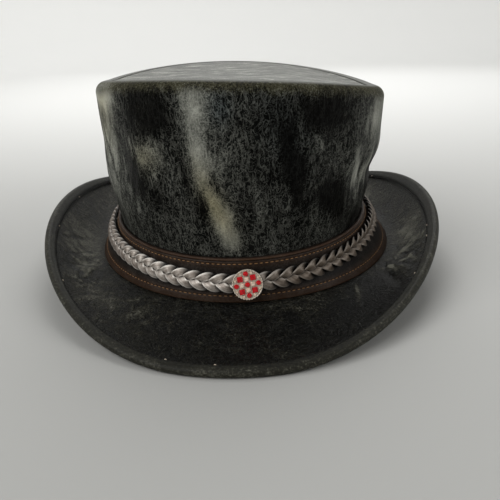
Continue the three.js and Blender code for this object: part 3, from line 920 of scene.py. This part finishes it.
def tinted(tree, shades, tint):
    """Multiplies a colour by one that goes from a cool grey over white to tan."""
    stops = ((0.0, (0.78, 0.88, 1.0)), (0.5, (1.0, 1.0, 1.0)), (1.0, (1.0, 0.91, 0.68)))
    cast = ramp(tree, spread(tree, tint, -1.0, 1.0), stops)
    return mix_colour(tree, 1.0, shades, cast, "MULTIPLY")


def crown_leather(colours):
    """Oiled pull-up leather, drum dyed and waxed. It is near black where the wax sits, and turns
    grey and matt where it is bent or rubbed, with fine fibres all over. Some of its light places
    are painted highlights, and its furrows are painted shade."""
    material, tree, shader = new_material("pull_up_leather_crown", 0.5)
    plain = object_vector(tree)
    upright = object_vector(tree, (1.0, 1.0, 0.35))
    clouds = noise(tree, plain, 14, detail=4, roughness=0.6, distortion=0.8)
    streaks = noise(tree, upright, 4, detail=4, roughness=0.6, distortion=0.6)
    # Fibres and speckle are drawn at 1 to 4 mm, coarser than they are, so that they show.
    speckle = noise(tree, plain, 0.9, detail=2, roughness=0.8)
    fibres = hairlines(tree, upright, 3.2, width=0.032)
    cracks = hairlines(tree, plain, 3.8, width=0.028, distortion=1.8)
    strands = compute(tree, "MAXIMUM", fibres, cracks)
    # The shade attribute holds rubbed wear and black wax, and also painted highlights and the
    # painted shade of furrows.
    mottled = attribute(tree, "shade")
    tone = weighted(tree, ((clouds, 0.8), (streaks, 0.65), (speckle, 0.9)), mottled)
    shades = ramp(
        tree,
        spread(tree, tone, -1.0, 1.0),
        (
            (0.39, colours.crown_black),
            (0.6, colours.crown_grey),
            (0.84, colours.crown_light),
            (1.0, colours.crown_pale),
        ),
    )
    shown = compute(tree, "MULTIPLY", strands, spread(tree, tone, -0.6, 0.5, 0.03, 0.42))
    fibrous = mix_colour(tree, shown, shades, colours.crown_pale)
    tinged = tinted(tree, fibrous, attribute(tree, "tint"))
    rim_tone = weighted(
        tree,
        ((clouds, 0.8), (speckle, 1.5), (strands, 0.25)),
        spread(tree, mottled, 0.0, 1.0, 0.46, 0.85),
    )
    stops = ((0.2, colours.rim_dark), (0.6, colours.rim_olive), (1.0, colours.crown_light))
    edge = weighted(tree, ((speckle, 1.2), (clouds, 1.0)), attribute(tree, "rim"))
    rubbed = mix_colour(tree, spread(tree, edge, 0.2, 1.0), tinged, ramp(tree, rim_tone, stops))
    # The lap's flat top is painted the tip's grey, a painted reflection of the bright room.
    top = attribute(tree, "top")
    topped = mix_colour(tree, top, rubbed, colours.tip_sheen_grey)
    # The wax is dull, and only the flat top throws back the light of the room.
    link_inputs(
        tree,
        shader,
        Base_Color=mix_colour(tree, attribute(tree, "flesh"), topped, colours.flesh),
        Roughness=spread(tree, tone, -0.6, 0.8, 0.42, 0.68),
        Specular_IOR_Level=spread(tree, top, 0.0, 1.0, 0.03, 0.5),
    )
    bumps(tree, shader, ((streaks, 0.7, 0.6), (speckle, 0.15, 0.5), (fibres, 0.08, 0.5)))
    return material


def tip_leather(colours):
    """The same pull-up leather, stretched flat over the top and dulled by dust. Its light grey is a
    painted reflection of the bright room, and its wavy streaks are painted highlights and painted
    shade on its ripples.
    """
    material, tree, shader = new_material("pull_up_leather_tip", 0.5)
    across = object_vector(tree, (0.4, 1.0, 1.0))
    streaks = noise(tree, across, 7, detail=4, roughness=0.65, distortion=0.8)
    speckle = noise(tree, object_vector(tree), 1, detail=2, roughness=0.7)
    tone = weighted(tree, ((streaks, 1.6), (speckle, 0.8)), 0.5)
    # Painted shade, painted reflection and painted highlight along the ripples of the top.
    stops = ((0.1, colours.tip_ripple_shade), (0.5, colours.tip_sheen_grey), (0.9, colours.crown_pale))
    link_inputs(tree, shader, Base_Color=ramp(tree, tone, stops))
    bumps(tree, shader, ((streaks, 1.5, 1.0), (speckle, 0.1, 0.4)))
    return material


def brim_leather(colours):
    """Pull-up leather of the brim, pressed smooth, with small pebbled creases and scratches."""
    material, tree, shader = new_material("pull_up_leather_brim", 0.42, Specular_IOR_Level=0.18)
    plain = object_vector(tree)
    slanted = object_vector(tree, (1.0, 0.3, 1.0))
    clouds = noise(tree, plain, 20, detail=4, roughness=0.6, distortion=0.8)
    creases = noise(tree, plain, 3.4, detail=4, roughness=0.65, distortion=1.2)
    speckle = noise(tree, plain, 1, detail=2, roughness=0.8)
    scratches = hairlines(tree, slanted, 9, width=0.008, distortion=1.6)
    fibres = hairlines(tree, plain, 2.4, width=0.03, distortion=1.0)
    layers = ((clouds, 1.1), (creases, 1.5), (speckle, 1.7))
    tone = weighted(tree, layers, attribute(tree, "shade"))
    tone = weighted(tree, ((compute(tree, "MULTIPLY", scratches, clouds), 0.9),), tone)
    shades = ramp(
        tree,
        spread(tree, tone, -1.3, 0.7),
        ((0.36, colours.crown_black), (0.56, colours.brim_black), (0.95, colours.brim_light)),
    )
    shown = compute(tree, "MULTIPLY", fibres, spread(tree, tone, -1.0, 0.3, 0.06, 0.3))
    link_inputs(
        tree,
        shader,
        Base_Color=mix_colour(tree, shown, shades, colours.crown_light),
        Roughness=spread(tree, tone, -0.9, 0.5, 0.36, 0.6),
    )
    bumps(tree, shader, ((creases, 1.3, 0.7), (speckle, 0.2, 0.6), (fibres, 0.12, 0.5)))
    return material


def binding_leather(colours):
    """A strip of soft garment leather, folded over the edge and rubbed along its crest."""
    material, tree, shader = new_material("garment_leather_binding", 0.55, Specular_IOR_Level=0.2)
    plain = object_vector(tree)
    grain = noise(tree, plain, 1.2, detail=3, roughness=0.7)
    clouds = noise(tree, plain, 8, detail=4, roughness=0.6, distortion=0.5)
    tone = weighted(tree, ((grain, 1.3), (clouds, 0.6)), attribute(tree, "shade"))
    stops = ((0.1, colours.binding_dark), (0.5, colours.binding), (1.0, colours.brim_light))
    link_inputs(tree, shader, Base_Color=ramp(tree, tone, stops))
    bumps(tree, shader, ((grain, 0.3, 0.6), (clouds, 0.5, 0.5)))
    return material


def band_leather(colours):
    """Bridle leather, dyed near black, with margins that are burnished to a warm brown."""
    material, tree, shader = new_material("bridle_leather_band", 0.5, Specular_IOR_Level=0.15)
    plain = object_vector(tree)
    grain = noise(tree, plain, 1, detail=3, roughness=0.7)
    clouds = noise(tree, plain, 7, detail=4, roughness=0.6, distortion=0.5)
    dark = mix_colour(tree, attribute(tree, "margin"), colours.band_dark, colours.band_brown)
    tone = weighted(tree, ((grain, 1.2), (clouds, 0.9)), 0.5)
    mottled = mix_colour(tree, spread(tree, tone, 0.4, 1.0, 0.0, 0.1), dark, colours.braid_face)
    link_inputs(tree, shader, Base_Color=mottled)
    bumps(tree, shader, ((grain, 0.2, 0.5), (clouds, 0.2, 0.3)))
    return material


def braid_leather(colours):
    """Thin strands of metallic foil-coated leather, cut so that their pale edges show. The foil is
    brightest left of the pin, painted darker as shade at the far left, and dull and brown on the
    right. Its hollows are darkened by soot and by painted shade."""
    material, tree, shader = new_material("foil_coated_leather", 0.42, Metallic=0.25)
    lay = add_node(tree, "ShaderNodeUVMap", uv_map="Lay").outputs["UV"]
    along = add_node(tree, "ShaderNodeMapping", {"Vector": lay, "Scale": (0.12, 1.0, 1.0)})
    scratches = noise(tree, along.outputs["Vector"], 0.6, detail=3, roughness=0.7)
    clouds = noise(tree, object_vector(tree), 4, detail=3)
    place = add_node(tree, "ShaderNodeSeparateXYZ", {"Vector": object_vector(tree)}).outputs["X"]
    # Towards the far left the foil is painted darker, as painted shade where the braid is seen
    # edge-on.
    left = spread(tree, place, -0.09, -0.05, 0.2, 0.55)
    right = spread(tree, place, -0.01, 0.03, 0.55, 0.12)
    foil = compute(tree, "MINIMUM", left, right)
    tone = weighted(tree, ((scratches, 1.2), (clouds, 0.7)), foil)
    stops = ((0.05, colours.braid_dark), (0.5, colours.braid_face), (1.0, colours.braid_edge))
    face = ramp(tree, tone, stops)
    cut = spread(tree, foil, 0.1, 0.55, 0.25, 0.9)
    cut = compute(tree, "MULTIPLY", attribute(tree, "edge"), cut)
    edged = mix_colour(tree, cut, face, colours.braid_edge)
    brown = spread(tree, place, 0.0, 0.03, 0.0, 0.5)
    dulled = mix_colour(tree, brown, edged, colours.braid_brown)
    # Soot and painted shade darken the braid's hollows.
    sooty_and_shaded = mix_colour(tree, attribute(tree, "soot_and_shade"), dulled, colours.braid_soot_and_shade)
    link_inputs(tree, shader, Base_Color=sooty_and_shaded)
    bumps(tree, shader, ((scratches, 0.15, 0.5), (clouds, 0.2, 0.3)))
    return material


def thread(name, shade, specks=(0.0, 0.0, 0.0)):
    """Waxed thread, twisted from fibres, which gives a dull ribbing. Dust makes some pale."""
    material, tree, shader = new_material(name, 0.6, Specular_IOR_Level=0.3)
    fibres = noise(tree, object_vector(tree), 0.5, detail=2, roughness=0.7)
    shades = ramp(tree, fibres, ((0.2, darker(shade, 0.5)), (0.7, tuple(shade))))
    dusty = mix_colour(tree, attribute(tree, "pale"), shades, tuple(specks))
    link_inputs(tree, shader, Base_Color=dusty)
    bumps(tree, shader, ((fibres, 0.1, 0.5),))
    return material


def silver_plate(colours):
    """White metal, cast and plated bright, with small scratches."""
    material, tree, shader = new_material("bright_plated_metal", 0.3, Metallic=0.35)
    marks = noise(tree, object_vector(tree), 0.9, detail=3, roughness=0.7)
    shades = ramp(tree, marks, ((0.25, linear("#8d8372")), (0.6, colours.silver)))
    shine = spread(tree, marks, 0.2, 0.8, 0.25, 0.42)
    link_inputs(tree, shader, Base_Color=shades, Roughness=shine)
    return material


def foil_backed_glass(name, shade, roughness):
    """Cut glass over a foil. The foil throws the light back through the colour, like a metal."""
    material, tree, shader = new_material(
        name, roughness, Metallic=0.3, Coat_Weight=0.3, Coat_Roughness=0.05
    )
    clouds = noise(tree, object_vector(tree), 1.2, detail=2)
    shades = ramp(tree, clouds, ((0.3, darker(shade, 0.55)), (0.55, tuple(shade))))
    link_inputs(tree, shader, Base_Color=shades)
    return material


# Small repeated shapes


def roll_angles(rings, corners):
    """Angles of a roll's rings between its two poles, and of the corners round each ring."""
    return np.linspace(0, np.pi, rings + 2)[1:-1, None], angles_round(corners).T


def roll_faces(rings, corners):
    """Quads of a roll of rings, and the triangles that close its first and last ring on two poles
    that follow the rings' corners."""
    quads = grid_faces(rings, corners, close_around=False)
    ring = np.arange(corners)
    after = (ring + 1) % corners
    pole = rings * corners
    last = pole - corners
    first_fan = np.stack([np.full(corners, pole), ring, after], 1)
    last_fan = np.stack([np.full(corners, pole + 1), last + after, last + ring], 1)
    return quads, np.concatenate([first_fan, last_fan])


def repeated(points, rings, corners):
    """Points, quads and triangles of like rolls, from the points of each."""
    quads, fans = roll_faces(rings, corners)
    shift = (np.arange(len(points)) * points.shape[1])[:, None, None]
    return points, (quads + shift).reshape(-1, 4), (fans + shift).reshape(-1, 3)


def stitches(line, angle, upward, span, radius):
    """Points, quads and triangles of one stitch at each angle on a line. Along the stitch runs the
    cosine of t, its radius is the 0.6 power of the sine of t, and it dips by the cosine squared."""
    rings, corners = 5, 6
    ahead = unit(line(angle + STEP) - line(angle - STEP))
    up = upward(angle)
    axes = np.stack([ahead, np.cross(up, ahead), up], 1)
    t, turn = roll_angles(rings, corners)
    girth = radius * np.sin(t) ** 0.6
    dip = 0.9 * radius * np.cos(t) ** 2
    along = span / 2 * np.cos(t) + 0 * turn
    rolled = np.stack([along, girth * np.cos(turn), girth * np.sin(turn) - dip], -1)
    ends = np.array([[span / 2, 0, -radius], [-span / 2, 0, -radius]])
    shape = np.concatenate([rolled.reshape(-1, 3), ends])
    return repeated(line(angle)[:, None, :] + shape @ axes, rings, corners)


def stitch_row(name, finish, form, sizes, line, upward, dusty_share=0.0):
    """Makes an even row of stitches on a closed line, and leaves a share of them pale."""
    angle = form.spaced_along(line, sizes.stitch_pitch)
    points, quads, fans = stitches(line, angle, upward, sizes.stitch_length, sizes.stitch_radius)
    dusty = np.random.default_rng(DUST_SEED).random(len(angle)) < dusty_share
    pale = np.repeat(0.5 * dusty, points.shape[1])
    dress(make_object(name, points, quads, finish, {"pale": pale}, triangles=fans))


def beads(places, radius):
    """Points, quads and triangles of a small ball at each place: latitudes by the sine and cosine
    of t between two poles."""
    rings, corners = 5, 8
    t, turn = roll_angles(rings, corners)
    ball = np.stack([np.cos(t) + 0 * turn, np.sin(t) * np.cos(turn), np.sin(t) * np.sin(turn)], -1)
    shape = radius * np.concatenate([ball.reshape(-1, 3), [[1, 0, 0], [-1, 0, 0]]])
    return repeated(np.asarray(places)[:, None, :] + shape, rings, corners)


# Operators, one for each piece or group of like pieces


class HAT_OT_crown_side(Operator):
    """Make the side wall of the crown with its rim"""

    bl_idname = "hat.crown_side"
    bl_label = "Crown side"

    def execute(self, context):
        form = HatForm(context.scene)
        angle = angles_round(COLUMNS["crown"])
        outer = grid_lines(-1, (0, 26), (1, 96), (2, 14), (3, 5))
        inner = np.concatenate([np.linspace(3, 1, 10), np.linspace(0.95, -1, 30)])
        skin = form.crown_skin(angle, outer)
        height = np.clip(outer, 0, 1)[None, :]
        fine = relief(angle, height, form.wrinkles) * np.sin(np.pi * height) ** 0.5
        skin = skin + outward(form.crown_skin, angle, outer[None, :]) * fine[..., None]
        points = np.concatenate([skin, form.crown_inside(angle, inner[None, :])], axis=1)
        # The rim's rounding is a seventh as long as the wall, and the patches run on over it.
        reach = np.maximum(0, np.where(outer > 1, 1 + (outer - 1) / 7, outer))[None, :]
        # Ridges are painted lighter and furrows darker: partly rubbed wear, partly painted light
        # and painted shade that make the wrinkles show.
        shade = relief(angle, reach, CROWN_SHADES) + fine / CROWN_RUB_AND_SHADE
        tint = relief(angle, reach, CROWN_TINTS)
        # The rim's olive reaches lower at the two corners, where hands take hold of the hat.
        corners = bell(degrees_apart(angle, 213), 10) + bell(degrees_apart(angle, 335), 12)
        low = 0.985 - 0.04 * corners
        rim = np.clip((reach - low) / 0.08, 0, 1)
        # The rim's flat top over the tip takes the tip's painted reflection of the bright room.
        top = np.clip((outer - 1.65) / 0.35, 0, 1) * np.ones_like(angle)
        blank = np.zeros((len(angle), len(inner)))
        inside = blank + (inner < 2)
        made = make_object(
            "crown_side_leather",
            points,
            grid_faces(len(angle), len(outer) + len(inner)),
            crown_leather(context.scene.hat_colours),
            {
                "shade": np.concatenate([shade, blank], 1),
                "tint": np.concatenate([tint, blank], 1),
                "rim": np.concatenate([rim, blank + 1], 1),
                "top": np.concatenate([top, blank + 1], 1),
                "flesh": np.concatenate([shade * 0, inside], 1),
            },
        )
        dress(made, "crown_side")
        return {"FINISHED"}


class HAT_OT_crown_tip(Operator):
    """Make the oval piece that closes the top of the crown"""

    bl_idname = "hat.crown_tip"
    bl_label = "Crown tip"

    def execute(self, context):
        form = HatForm(context.scene)
        angle = angles_round(COLUMNS["tip"])
        parts = grid_lines(1, (0.92, 24), (0.02, 46))
        top = form.tip_top(angle, parts[None, :])
        under = form.tip_top(angle, parts[None, ::-1])
        under[..., 2] -= form.crown.tip_thickness
        rows = np.concatenate([top, under], 1)
        count_along = rows.shape[1]
        quads = grid_faces(len(angle), count_along)
        middle = len(parts) - 1
        bridging = quads[:, 0] % count_along == middle
        points = rows.reshape(-1, 3)
        poles = np.stack([top[:, -1].mean(0), under[:, 0].mean(0)])
        first = np.arange(len(angle)) * count_along + middle
        after = np.roll(first, -1)
        fan_top = np.stack([first, after, np.full_like(first, len(points))], 1)
        fan_under = np.stack([after + 1, first + 1, np.full_like(first, len(points) + 1)], 1)
        made = make_object(
            "crown_tip_leather",
            np.concatenate([points, poles]),
            quads[~bridging],
            tip_leather(context.scene.hat_colours),
            triangles=np.concatenate([fan_top, fan_under]),
        )
        dress(made, "crown_tip")
        return {"FINISHED"}


class HAT_OT_brim(Operator):
    """Make the brim with its creases"""

    bl_idname = "hat.brim"
    bl_label = "Brim"

    def execute(self, context):
        form = HatForm(context.scene)
        angle = angles_round(COLUMNS["brim"])
        half = form.brim.thickness / 2
        top = grid_lines(1, (0, 84), (-1, 8))[None, :]
        under = grid_lines(-1, (0, 8), (1, 50))[None, :]
        fine = relief(angle, top, form.brim_wrinkles)
        lap = form.lap_level(angle)
        fade = np.clip((lap - top) / 0.08, 0, 1) * np.clip(top / 0.1, 0, 1)
        upper = form.brim_beside(angle, top, half + fine * fade)
        lower = form.brim_beside(angle, under, -half)
        points = np.concatenate([upper, lower], 1)
        # Ridges are painted lighter and furrows darker: partly rubbed wear, partly painted light
        # and painted shade that make the wrinkles show.
        shade = relief(angle, top, BRIM_SHADES) + fine * fade / BRIM_RUB_AND_SHADE
        made = make_object(
            "brim_leather",
            points,
            grid_faces(len(angle), top.size + under.size),
            brim_leather(context.scene.hat_colours),
            {"shade": np.concatenate([shade, np.zeros((len(angle), under.size))], 1)},
        )
        dress(made, "brim")
        return {"FINISHED"}


class HAT_OT_binding(Operator):
    """Make the strip folded over the brim's edge, and its stitches"""

    bl_idname = "hat.binding"
    bl_label = "Binding"

    def execute(self, context):
        form = HatForm(context.scene)
        colours = context.scene.hat_colours
        points, shade = binding_rows(form, angles_round(COLUMNS["binding"]))
        made = make_object(
            "brim_binding_leather",
            points,
            grid_faces(*points.shape[:2]),
            binding_leather(colours),
            {"shade": shade},
        )
        dress(made, "brim_binding")
        finish = thread("black_waxed_thread", colours.black_thread, colours.clear_stone)
        # The underside's stitches are sunk, so that the hat rests on its binding.
        rows = {
            "top": form.binding_reach + 0.3 * form.brim.binding_puff,
            "underside": 0.7 * form.brim.stitch_radius - form.binding_reach,
        }
        for name, height in rows.items():

            def line(a):
                return form.brim_beside(a, 1 - (1 - form.lap_level(a)) * STITCH_SHARE, height)

            def upward(a):
                return -outward(form.brim_middle, a, np.ones_like(a)) * np.sign(height)

            stitch_row(
                f"binding_stitches_{name}",
                finish,
                form,
                form.brim,
                line,
                upward,
                DUSTY_SHARE,
            )
        return {"FINISHED"}


def binding_rows(form, angle):
    """Corners of the binding at each angle: the underside, a round nose, a puffed top with a
    stitched groove near its inner edge, and the inside of the fold."""
    b = form.brim
    reach = form.binding_reach
    inside = b.thickness / 2 + form.band.gap
    lap = form.lap_level(angle)
    up = -outward(form.brim_middle, angle, np.ones_like(angle))
    edge = form.brim_middle(angle, 1.0)
    out = unit(edge - form.brim_middle(angle, lap))
    nose = edge + out * form.band.gap
    under = form.brim_beside(angle, lap + (1 - lap) * np.linspace(0, 0.96, 8), -reach)
    bend = np.linspace(-QUARTER, QUARTER, 13)[None, :, None]
    round_nose = nose + out * reach * np.cos(bend) + up * reach * np.sin(bend)
    across = np.linspace(0.06, 1, 22)
    puff = b.binding_puff * np.sin(np.pi * across) ** 0.8
    groove = GROOVE_DEPTH * bell(across - STITCH_SHARE, GROOVE_WIDTH)
    top = form.brim_beside(angle, 1 - (1 - lap) * across, reach + puff - groove)
    edge_in = form.brim_beside(angle, lap, np.array([inside]))
    fold = np.concatenate([nose + up * inside, nose - up * inside], 1)
    edge_under = form.brim_beside(angle, lap, np.array([-inside]))
    rows = np.concatenate([under, round_nose, top, edge_in, fold, edge_under], 1)
    # The crest is rubbed lightest, and the inside of the fold stays dark.
    crest = np.concatenate([
        np.full(under.shape[1], 0.3),
        0.38 + 0.1 * np.cos(bend[0, :, 0]),
        0.36 - 0.24 * across,
        np.full(4, 0.1),
    ])
    return rows, np.broadcast_to(crest, rows.shape[:2])


class HAT_OT_band(Operator):
    """Make the hat band and its two rows of stitches"""

    bl_idname = "hat.band"
    bl_label = "Hat band"

    def execute(self, context):
        form = HatForm(context.scene)
        colours = context.scene.hat_colours
        b = form.band
        angle = angles_round(COLUMNS["band"])
        heights = grid_lines(0, (0.24, 21), (0.78, 13), (1, 26))
        relief_rows = [row[:2] for row in BAND_RELIEF]
        brown_rows = [(row[0], row[2]) for row in BAND_RELIEF]

        def thickness(at):
            return b.gap + b.thickness - b.welt * read_table(relief_rows, at)

        outer = form.beside_base(angle, heights[None, :] - 1, thickness(heights)[None, :])
        inner = form.beside_base(angle, np.linspace(0, -1, 20)[None, :], b.gap)
        points = np.concatenate([outer, inner], 1)
        margin = np.clip(read_table(brown_rows, heights), 0, 1)
        margin = np.concatenate([margin, np.zeros(inner.shape[1])])
        made = make_object(
            "band_leather",
            points,
            grid_faces(*points.shape[:2]),
            band_leather(colours),
            {"margin": np.broadcast_to(margin, points.shape[:2])},
        )
        dress(made, "band")
        finish = thread("tan_waxed_thread", colours.tan_thread)
        for name, at in BAND_STITCHES.items():

            def line(a):
                return form.beside_base(a, at - 1, thickness(at))

            def upward(a):
                return outward(form.band_face, a, np.full_like(a, at - 1))

            stitch_row(
                f"band_stitches_{name}", finish, form, b, line, upward
            )
        return {"FINISHED"}


class HAT_OT_braid(Operator):
    """Make the three strands of the braid"""

    bl_idname = "hat.braid"
    bl_label = "Braid"

    def execute(self, context):
        form = HatForm(context.scene)
        finish = braid_leather(context.scene.hat_colours)
        for strand in range(3):
            points, edge, soot_and_shade, uv = strand_rows(form, strand)
            made = make_object(
                f"braid_strand_{strand + 1}",
                points,
                grid_faces(*points.shape[:2]),
                finish,
                {"edge": edge, "soot_and_shade": soot_and_shade},
                uv,
            )
            dress(made, "braid")
        return {"FINISHED"}


def strand_rows(form, strand):
    """Corners of one strand. Its middle swings across the braid as the sine of its phase and rises
    and dips as the sine of twice its phase, so that it passes over on its way out and under on its
    way back. Its section is a flat strip with a crowned top, tilted with the crossing."""
    b = form.band
    angles, reached = form.run_along(lambda a: form.band_face(a, form.braid_level(a)))
    total = reached[-1]
    steps = b.periods * STRAND_RINGS
    along = np.linspace(0, total, steps, endpoint=False)[:, None]
    phase = TURN * b.periods * along / total + TURN * strand / 3
    swing = (b.braid_width - b.strand_width) / 2
    rise = (b.braid_thickness - b.strand_thickness) / 2
    slope = swing * TURN * b.periods / total * np.cos(phase)
    size = np.hypot(1, slope)
    turn = angles_round(STRAND_CORNERS).T
    side = signed_power(np.cos(turn), STRAND_FULLNESS)
    lift = signed_power(np.sin(turn), STRAND_FULLNESS)
    width = b.strand_width / 2 * side
    place = along - width * slope / size
    across = swing * np.sin(phase) + width / size
    tilt = STRAND_TILT * side * np.cos(phase)
    crown = b.strand_thickness / 2 * lift * (1 - 0.2 * side**2)
    out = b.gap + b.braid_thickness / 2 + rise * np.sin(2 * phase + 2 * tilt) + crown
    angle = np.interp(place % total, reached, angles)
    level = form.braid_level(angle) + across / form.band_height(angle)
    face = form.band_face(angle, level)
    points = face + outward(form.band_face, angle, level) * out[..., None]
    edge = np.clip((np.abs(side) - 0.72) / 0.12, 0, 1) * (lift > -0.1)
    edge = np.broadcast_to(edge, points.shape[:2])
    # The lower half of the braid's thickness, the underside of each strand, and the middle line,
    # where a strand comes up from below, are painted dark: partly dirt that gathers there, partly
    # painted shade where the strands cover each other.
    hollow = np.clip(2.05 - 2.5 * (out - b.gap) / b.braid_thickness, 0, 1)
    rising = np.clip(0.95 - 1.6 * np.sin(2 * phase), 0, 1) * bell(across, 0.8 * MM)
    soot_and_shade = np.maximum(np.maximum(hollow, rising), np.clip(-2 * lift, 0, 1))
    uv = grid_uv(
        np.linspace(0, total, steps + 1), np.linspace(0, 2 * b.strand_width, STRAND_CORNERS + 1)
    )
    return points, edge, soot_and_shade, uv


class HAT_OT_pin(Operator):
    """Make the pin's ring of beads, and the finish of its plate and stones"""

    bl_idname = "hat.pin"
    bl_label = "Pin"

    def execute(self, context):
        colours = context.scene.hat_colours
        sizes = context.scene.hat_pin
        plate = silver_plate(colours)
        red = foil_backed_glass("red_foil_backed_glass", tuple(colours.red_stone), 0.3)
        clear = foil_backed_glass("clear_foil_backed_glass", tuple(colours.clear_stone), 0.2)
        centres = {}
        for name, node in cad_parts.items():
            finish = {"red": red, "clear": clear, "pin": plate}.get(name.split("_")[0])
            if finish:
                node.data.materials.clear()
                node.data.materials.append(finish)
                corners = np.array([node.matrix_world @ corner.co for corner in node.data.vertices])
                centres[name] = (corners.min(0) + corners.max(0)) / 2
        del centres["pin_plate"]
        stones = np.array(list(centres.values()))
        middle = stones.mean(0)
        # The stones lie in one plane, and its normal is the direction in which they spread least.
        axes = np.linalg.svd(stones - middle)[2]
        turn = angles_round(sizes.ring_beads)
        ring = middle + sizes.ring_radius * (np.cos(turn) * axes[0] + np.sin(turn) * axes[1])
        points, quads, fans = beads(ring, sizes.bead)
        made = make_object("pin_beads", points, quads, plate, triangles=fans)
        dress(made)
        return {"FINISHED"}


# Lights: name, place, the spot that they face, size and power.
LIGHTS = (
    ("key_window", (-1.0, -0.85, 1.1), (0, 0, 0.06), 1.3, 17),
    ("top_soft", (0.1, 0.8, 1.35), (0, 0, 0.06), 1.1, 13),
    ("right_fill", (1.2, -0.6, 0.7), (0, 0, 0.06), 0.8, 5),
    ("backdrop_light", (-0.3, 0.5, 1.4), (-0.3, 2.2, 0.8), 1.3, 18),
)


class HAT_OT_stage(Operator):
    """Make the camera, the floor with its backdrop and the lights"""

    bl_idname = "hat.stage"
    bl_label = "Stage"

    def execute(self, context):
        scene = context.scene
        add_camera(scene, scene.hat_stage)
        add_backdrop(scene.hat_stage)
        for light in LIGHTS:
            add_light(*light)
        world = bpy.data.worlds.new("dim_room")
        world.use_nodes = True
        room = world.node_tree.nodes["Background"]
        room.inputs["Color"].default_value = (*linear("#e6e6e4"), 1.0)
        room.inputs["Strength"].default_value = 0.3
        scene.world = world
        scene.view_settings.view_transform = "Standard"
        return {"FINISHED"}


def add_camera(scene, settings):
    """The camera looks down and a little aside, and is rolled as the photograph is."""
    pitch, yaw, roll = settings.camera_pitch, settings.camera_yaw, settings.camera_roll
    ahead = Vector((
        math.sin(yaw) * math.cos(pitch), math.cos(yaw) * math.cos(pitch), -math.sin(pitch)
    ))
    right = ahead.cross(Vector((0, 0, 1))).normalized()
    up = right.cross(ahead)
    side = right * math.cos(roll) + up * math.sin(roll)
    top = up * math.cos(roll) - right * math.sin(roll)
    data = bpy.data.cameras.new("camera")
    data.lens = settings.lens
    data.sensor_width = 36
    camera = bpy.data.objects.new("camera", data)
    axes = Matrix((side, top, -ahead)).transposed().to_4x4()
    place = (settings.camera_across, settings.camera_along, settings.camera_height)
    camera.matrix_world = Matrix.Translation(place) @ axes
    scene.collection.objects.link(camera)
    scene.camera = camera


def add_backdrop(settings):
    """A round floor that curves up into a wall, swept from one profile round the hat."""
    angle = angles_round(COLUMNS["floor"])
    bend = np.linspace(0, QUARTER, 12)[1:]
    curve = 0.5
    flat_rings, wall_rings = 24, 6
    radius = np.concatenate([
        np.linspace(0.02, 1, flat_rings) * settings.floor_radius,
        settings.floor_radius + curve * np.sin(bend),
        np.full(wall_rings, settings.floor_radius + curve),
    ])
    height = np.concatenate([
        np.zeros(flat_rings),
        curve * (1 - np.cos(bend)),
        np.linspace(curve + 0.1, settings.wall_height, wall_rings),
    ])
    points = np.stack(np.broadcast_arrays(
        radius * np.cos(angle), radius * np.sin(angle), height
    ), -1)
    flat = points.reshape(-1, 3)
    ring = np.arange(len(angle)) * len(radius)
    fan = np.stack([ring, np.roll(ring, -1), np.full_like(ring, len(flat))], 1)
    material, tree, shader = new_material("matt_paper", 0.9, Specular_IOR_Level=0.1)
    # The paper is painted darker towards the front and the left, as painted shade on the floor near
    # the hat, and lighter towards the back.
    slanted = object_vector(tree, (0.3, 1.0, 1.0))
    place = add_node(tree, "ShaderNodeSeparateXYZ", {"Vector": slanted})
    depth = compute(tree, "ADD", place.outputs["X"], place.outputs["Y"])
    tone = spread(tree, depth, -0.3, 1.3)
    shades = mix_colour(tree, tone, tuple(settings.paper_near_shaded), tuple(settings.paper))
    link_inputs(tree, shader, Base_Color=shades)
    faces = grid_faces(len(angle), len(radius), close_along=False)[:, ::-1]
    points = np.concatenate([flat, [[0, 0, 0]]])
    floor = make_object("floor", points, faces, material, triangles=fan)


def add_light(name, place, target, size, power):
    """A soft square light that faces its target."""
    data = bpy.data.lights.new(name, "AREA")
    data.size = size
    data.energy = power
    light = bpy.data.objects.new(name, data)
    light.location = place
    aim = Vector(target) - Vector(place)
    light.rotation_euler = aim.to_track_quat("-Z", "Y").to_euler()
    bpy.context.scene.collection.objects.link(light)


class HAT_PT_panel(Panel):
    """Lists the hat's pieces and sizes"""

    bl_idname = "HAT_PT_panel"
    bl_label = "Leather Top Hat"
    bl_space_type = "VIEW_3D"
    bl_region_type = "UI"
    bl_category = "Hat"

    def draw(self, context):
        layout = self.layout
        for operator in OPERATORS:
            layout.operator(operator.bl_idname)
        for group in GROUPS:
            box = layout.box()
            box.label(text=group)
            settings = getattr(context.scene, group)
            for name in type(settings).__annotations__:
                box.prop(settings, name)


GROUPS = {
    "hat_crown": CrownSizes,
    "hat_brim": BrimSizes,
    "hat_band": BandSizes,
    "hat_pin": PinSizes,
    "hat_colours": LeatherColours,
    "hat_stage": StageSettings,
}

OPERATORS = (
    HAT_OT_stage,
    HAT_OT_crown_side,
    HAT_OT_crown_tip,
    HAT_OT_brim,
    HAT_OT_binding,
    HAT_OT_band,
    HAT_OT_braid,
    HAT_OT_pin,
)


def register():
    """Registers the classes and puts the settings on the scene."""
    for group, settings in GROUPS.items():
        bpy.utils.register_class(settings)
        setattr(bpy.types.Scene, group, PointerProperty(type=settings))
    for operator in OPERATORS:
        bpy.utils.register_class(operator)
    bpy.utils.register_class(HAT_PT_panel)


def unregister():
    """Takes the classes and the settings away again."""
    bpy.utils.unregister_class(HAT_PT_panel)
    for operator in reversed(OPERATORS):
        bpy.utils.unregister_class(operator)
    for group, settings in GROUPS.items():
        delattr(bpy.types.Scene, group)
        bpy.utils.unregister_class(settings)


def main():
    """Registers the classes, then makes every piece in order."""
    register()
    for operator in OPERATORS:
        family, name = operator.bl_idname.split(".")
        getattr(getattr(bpy.ops, family), name)()


if __name__ == "__main__":
    main()
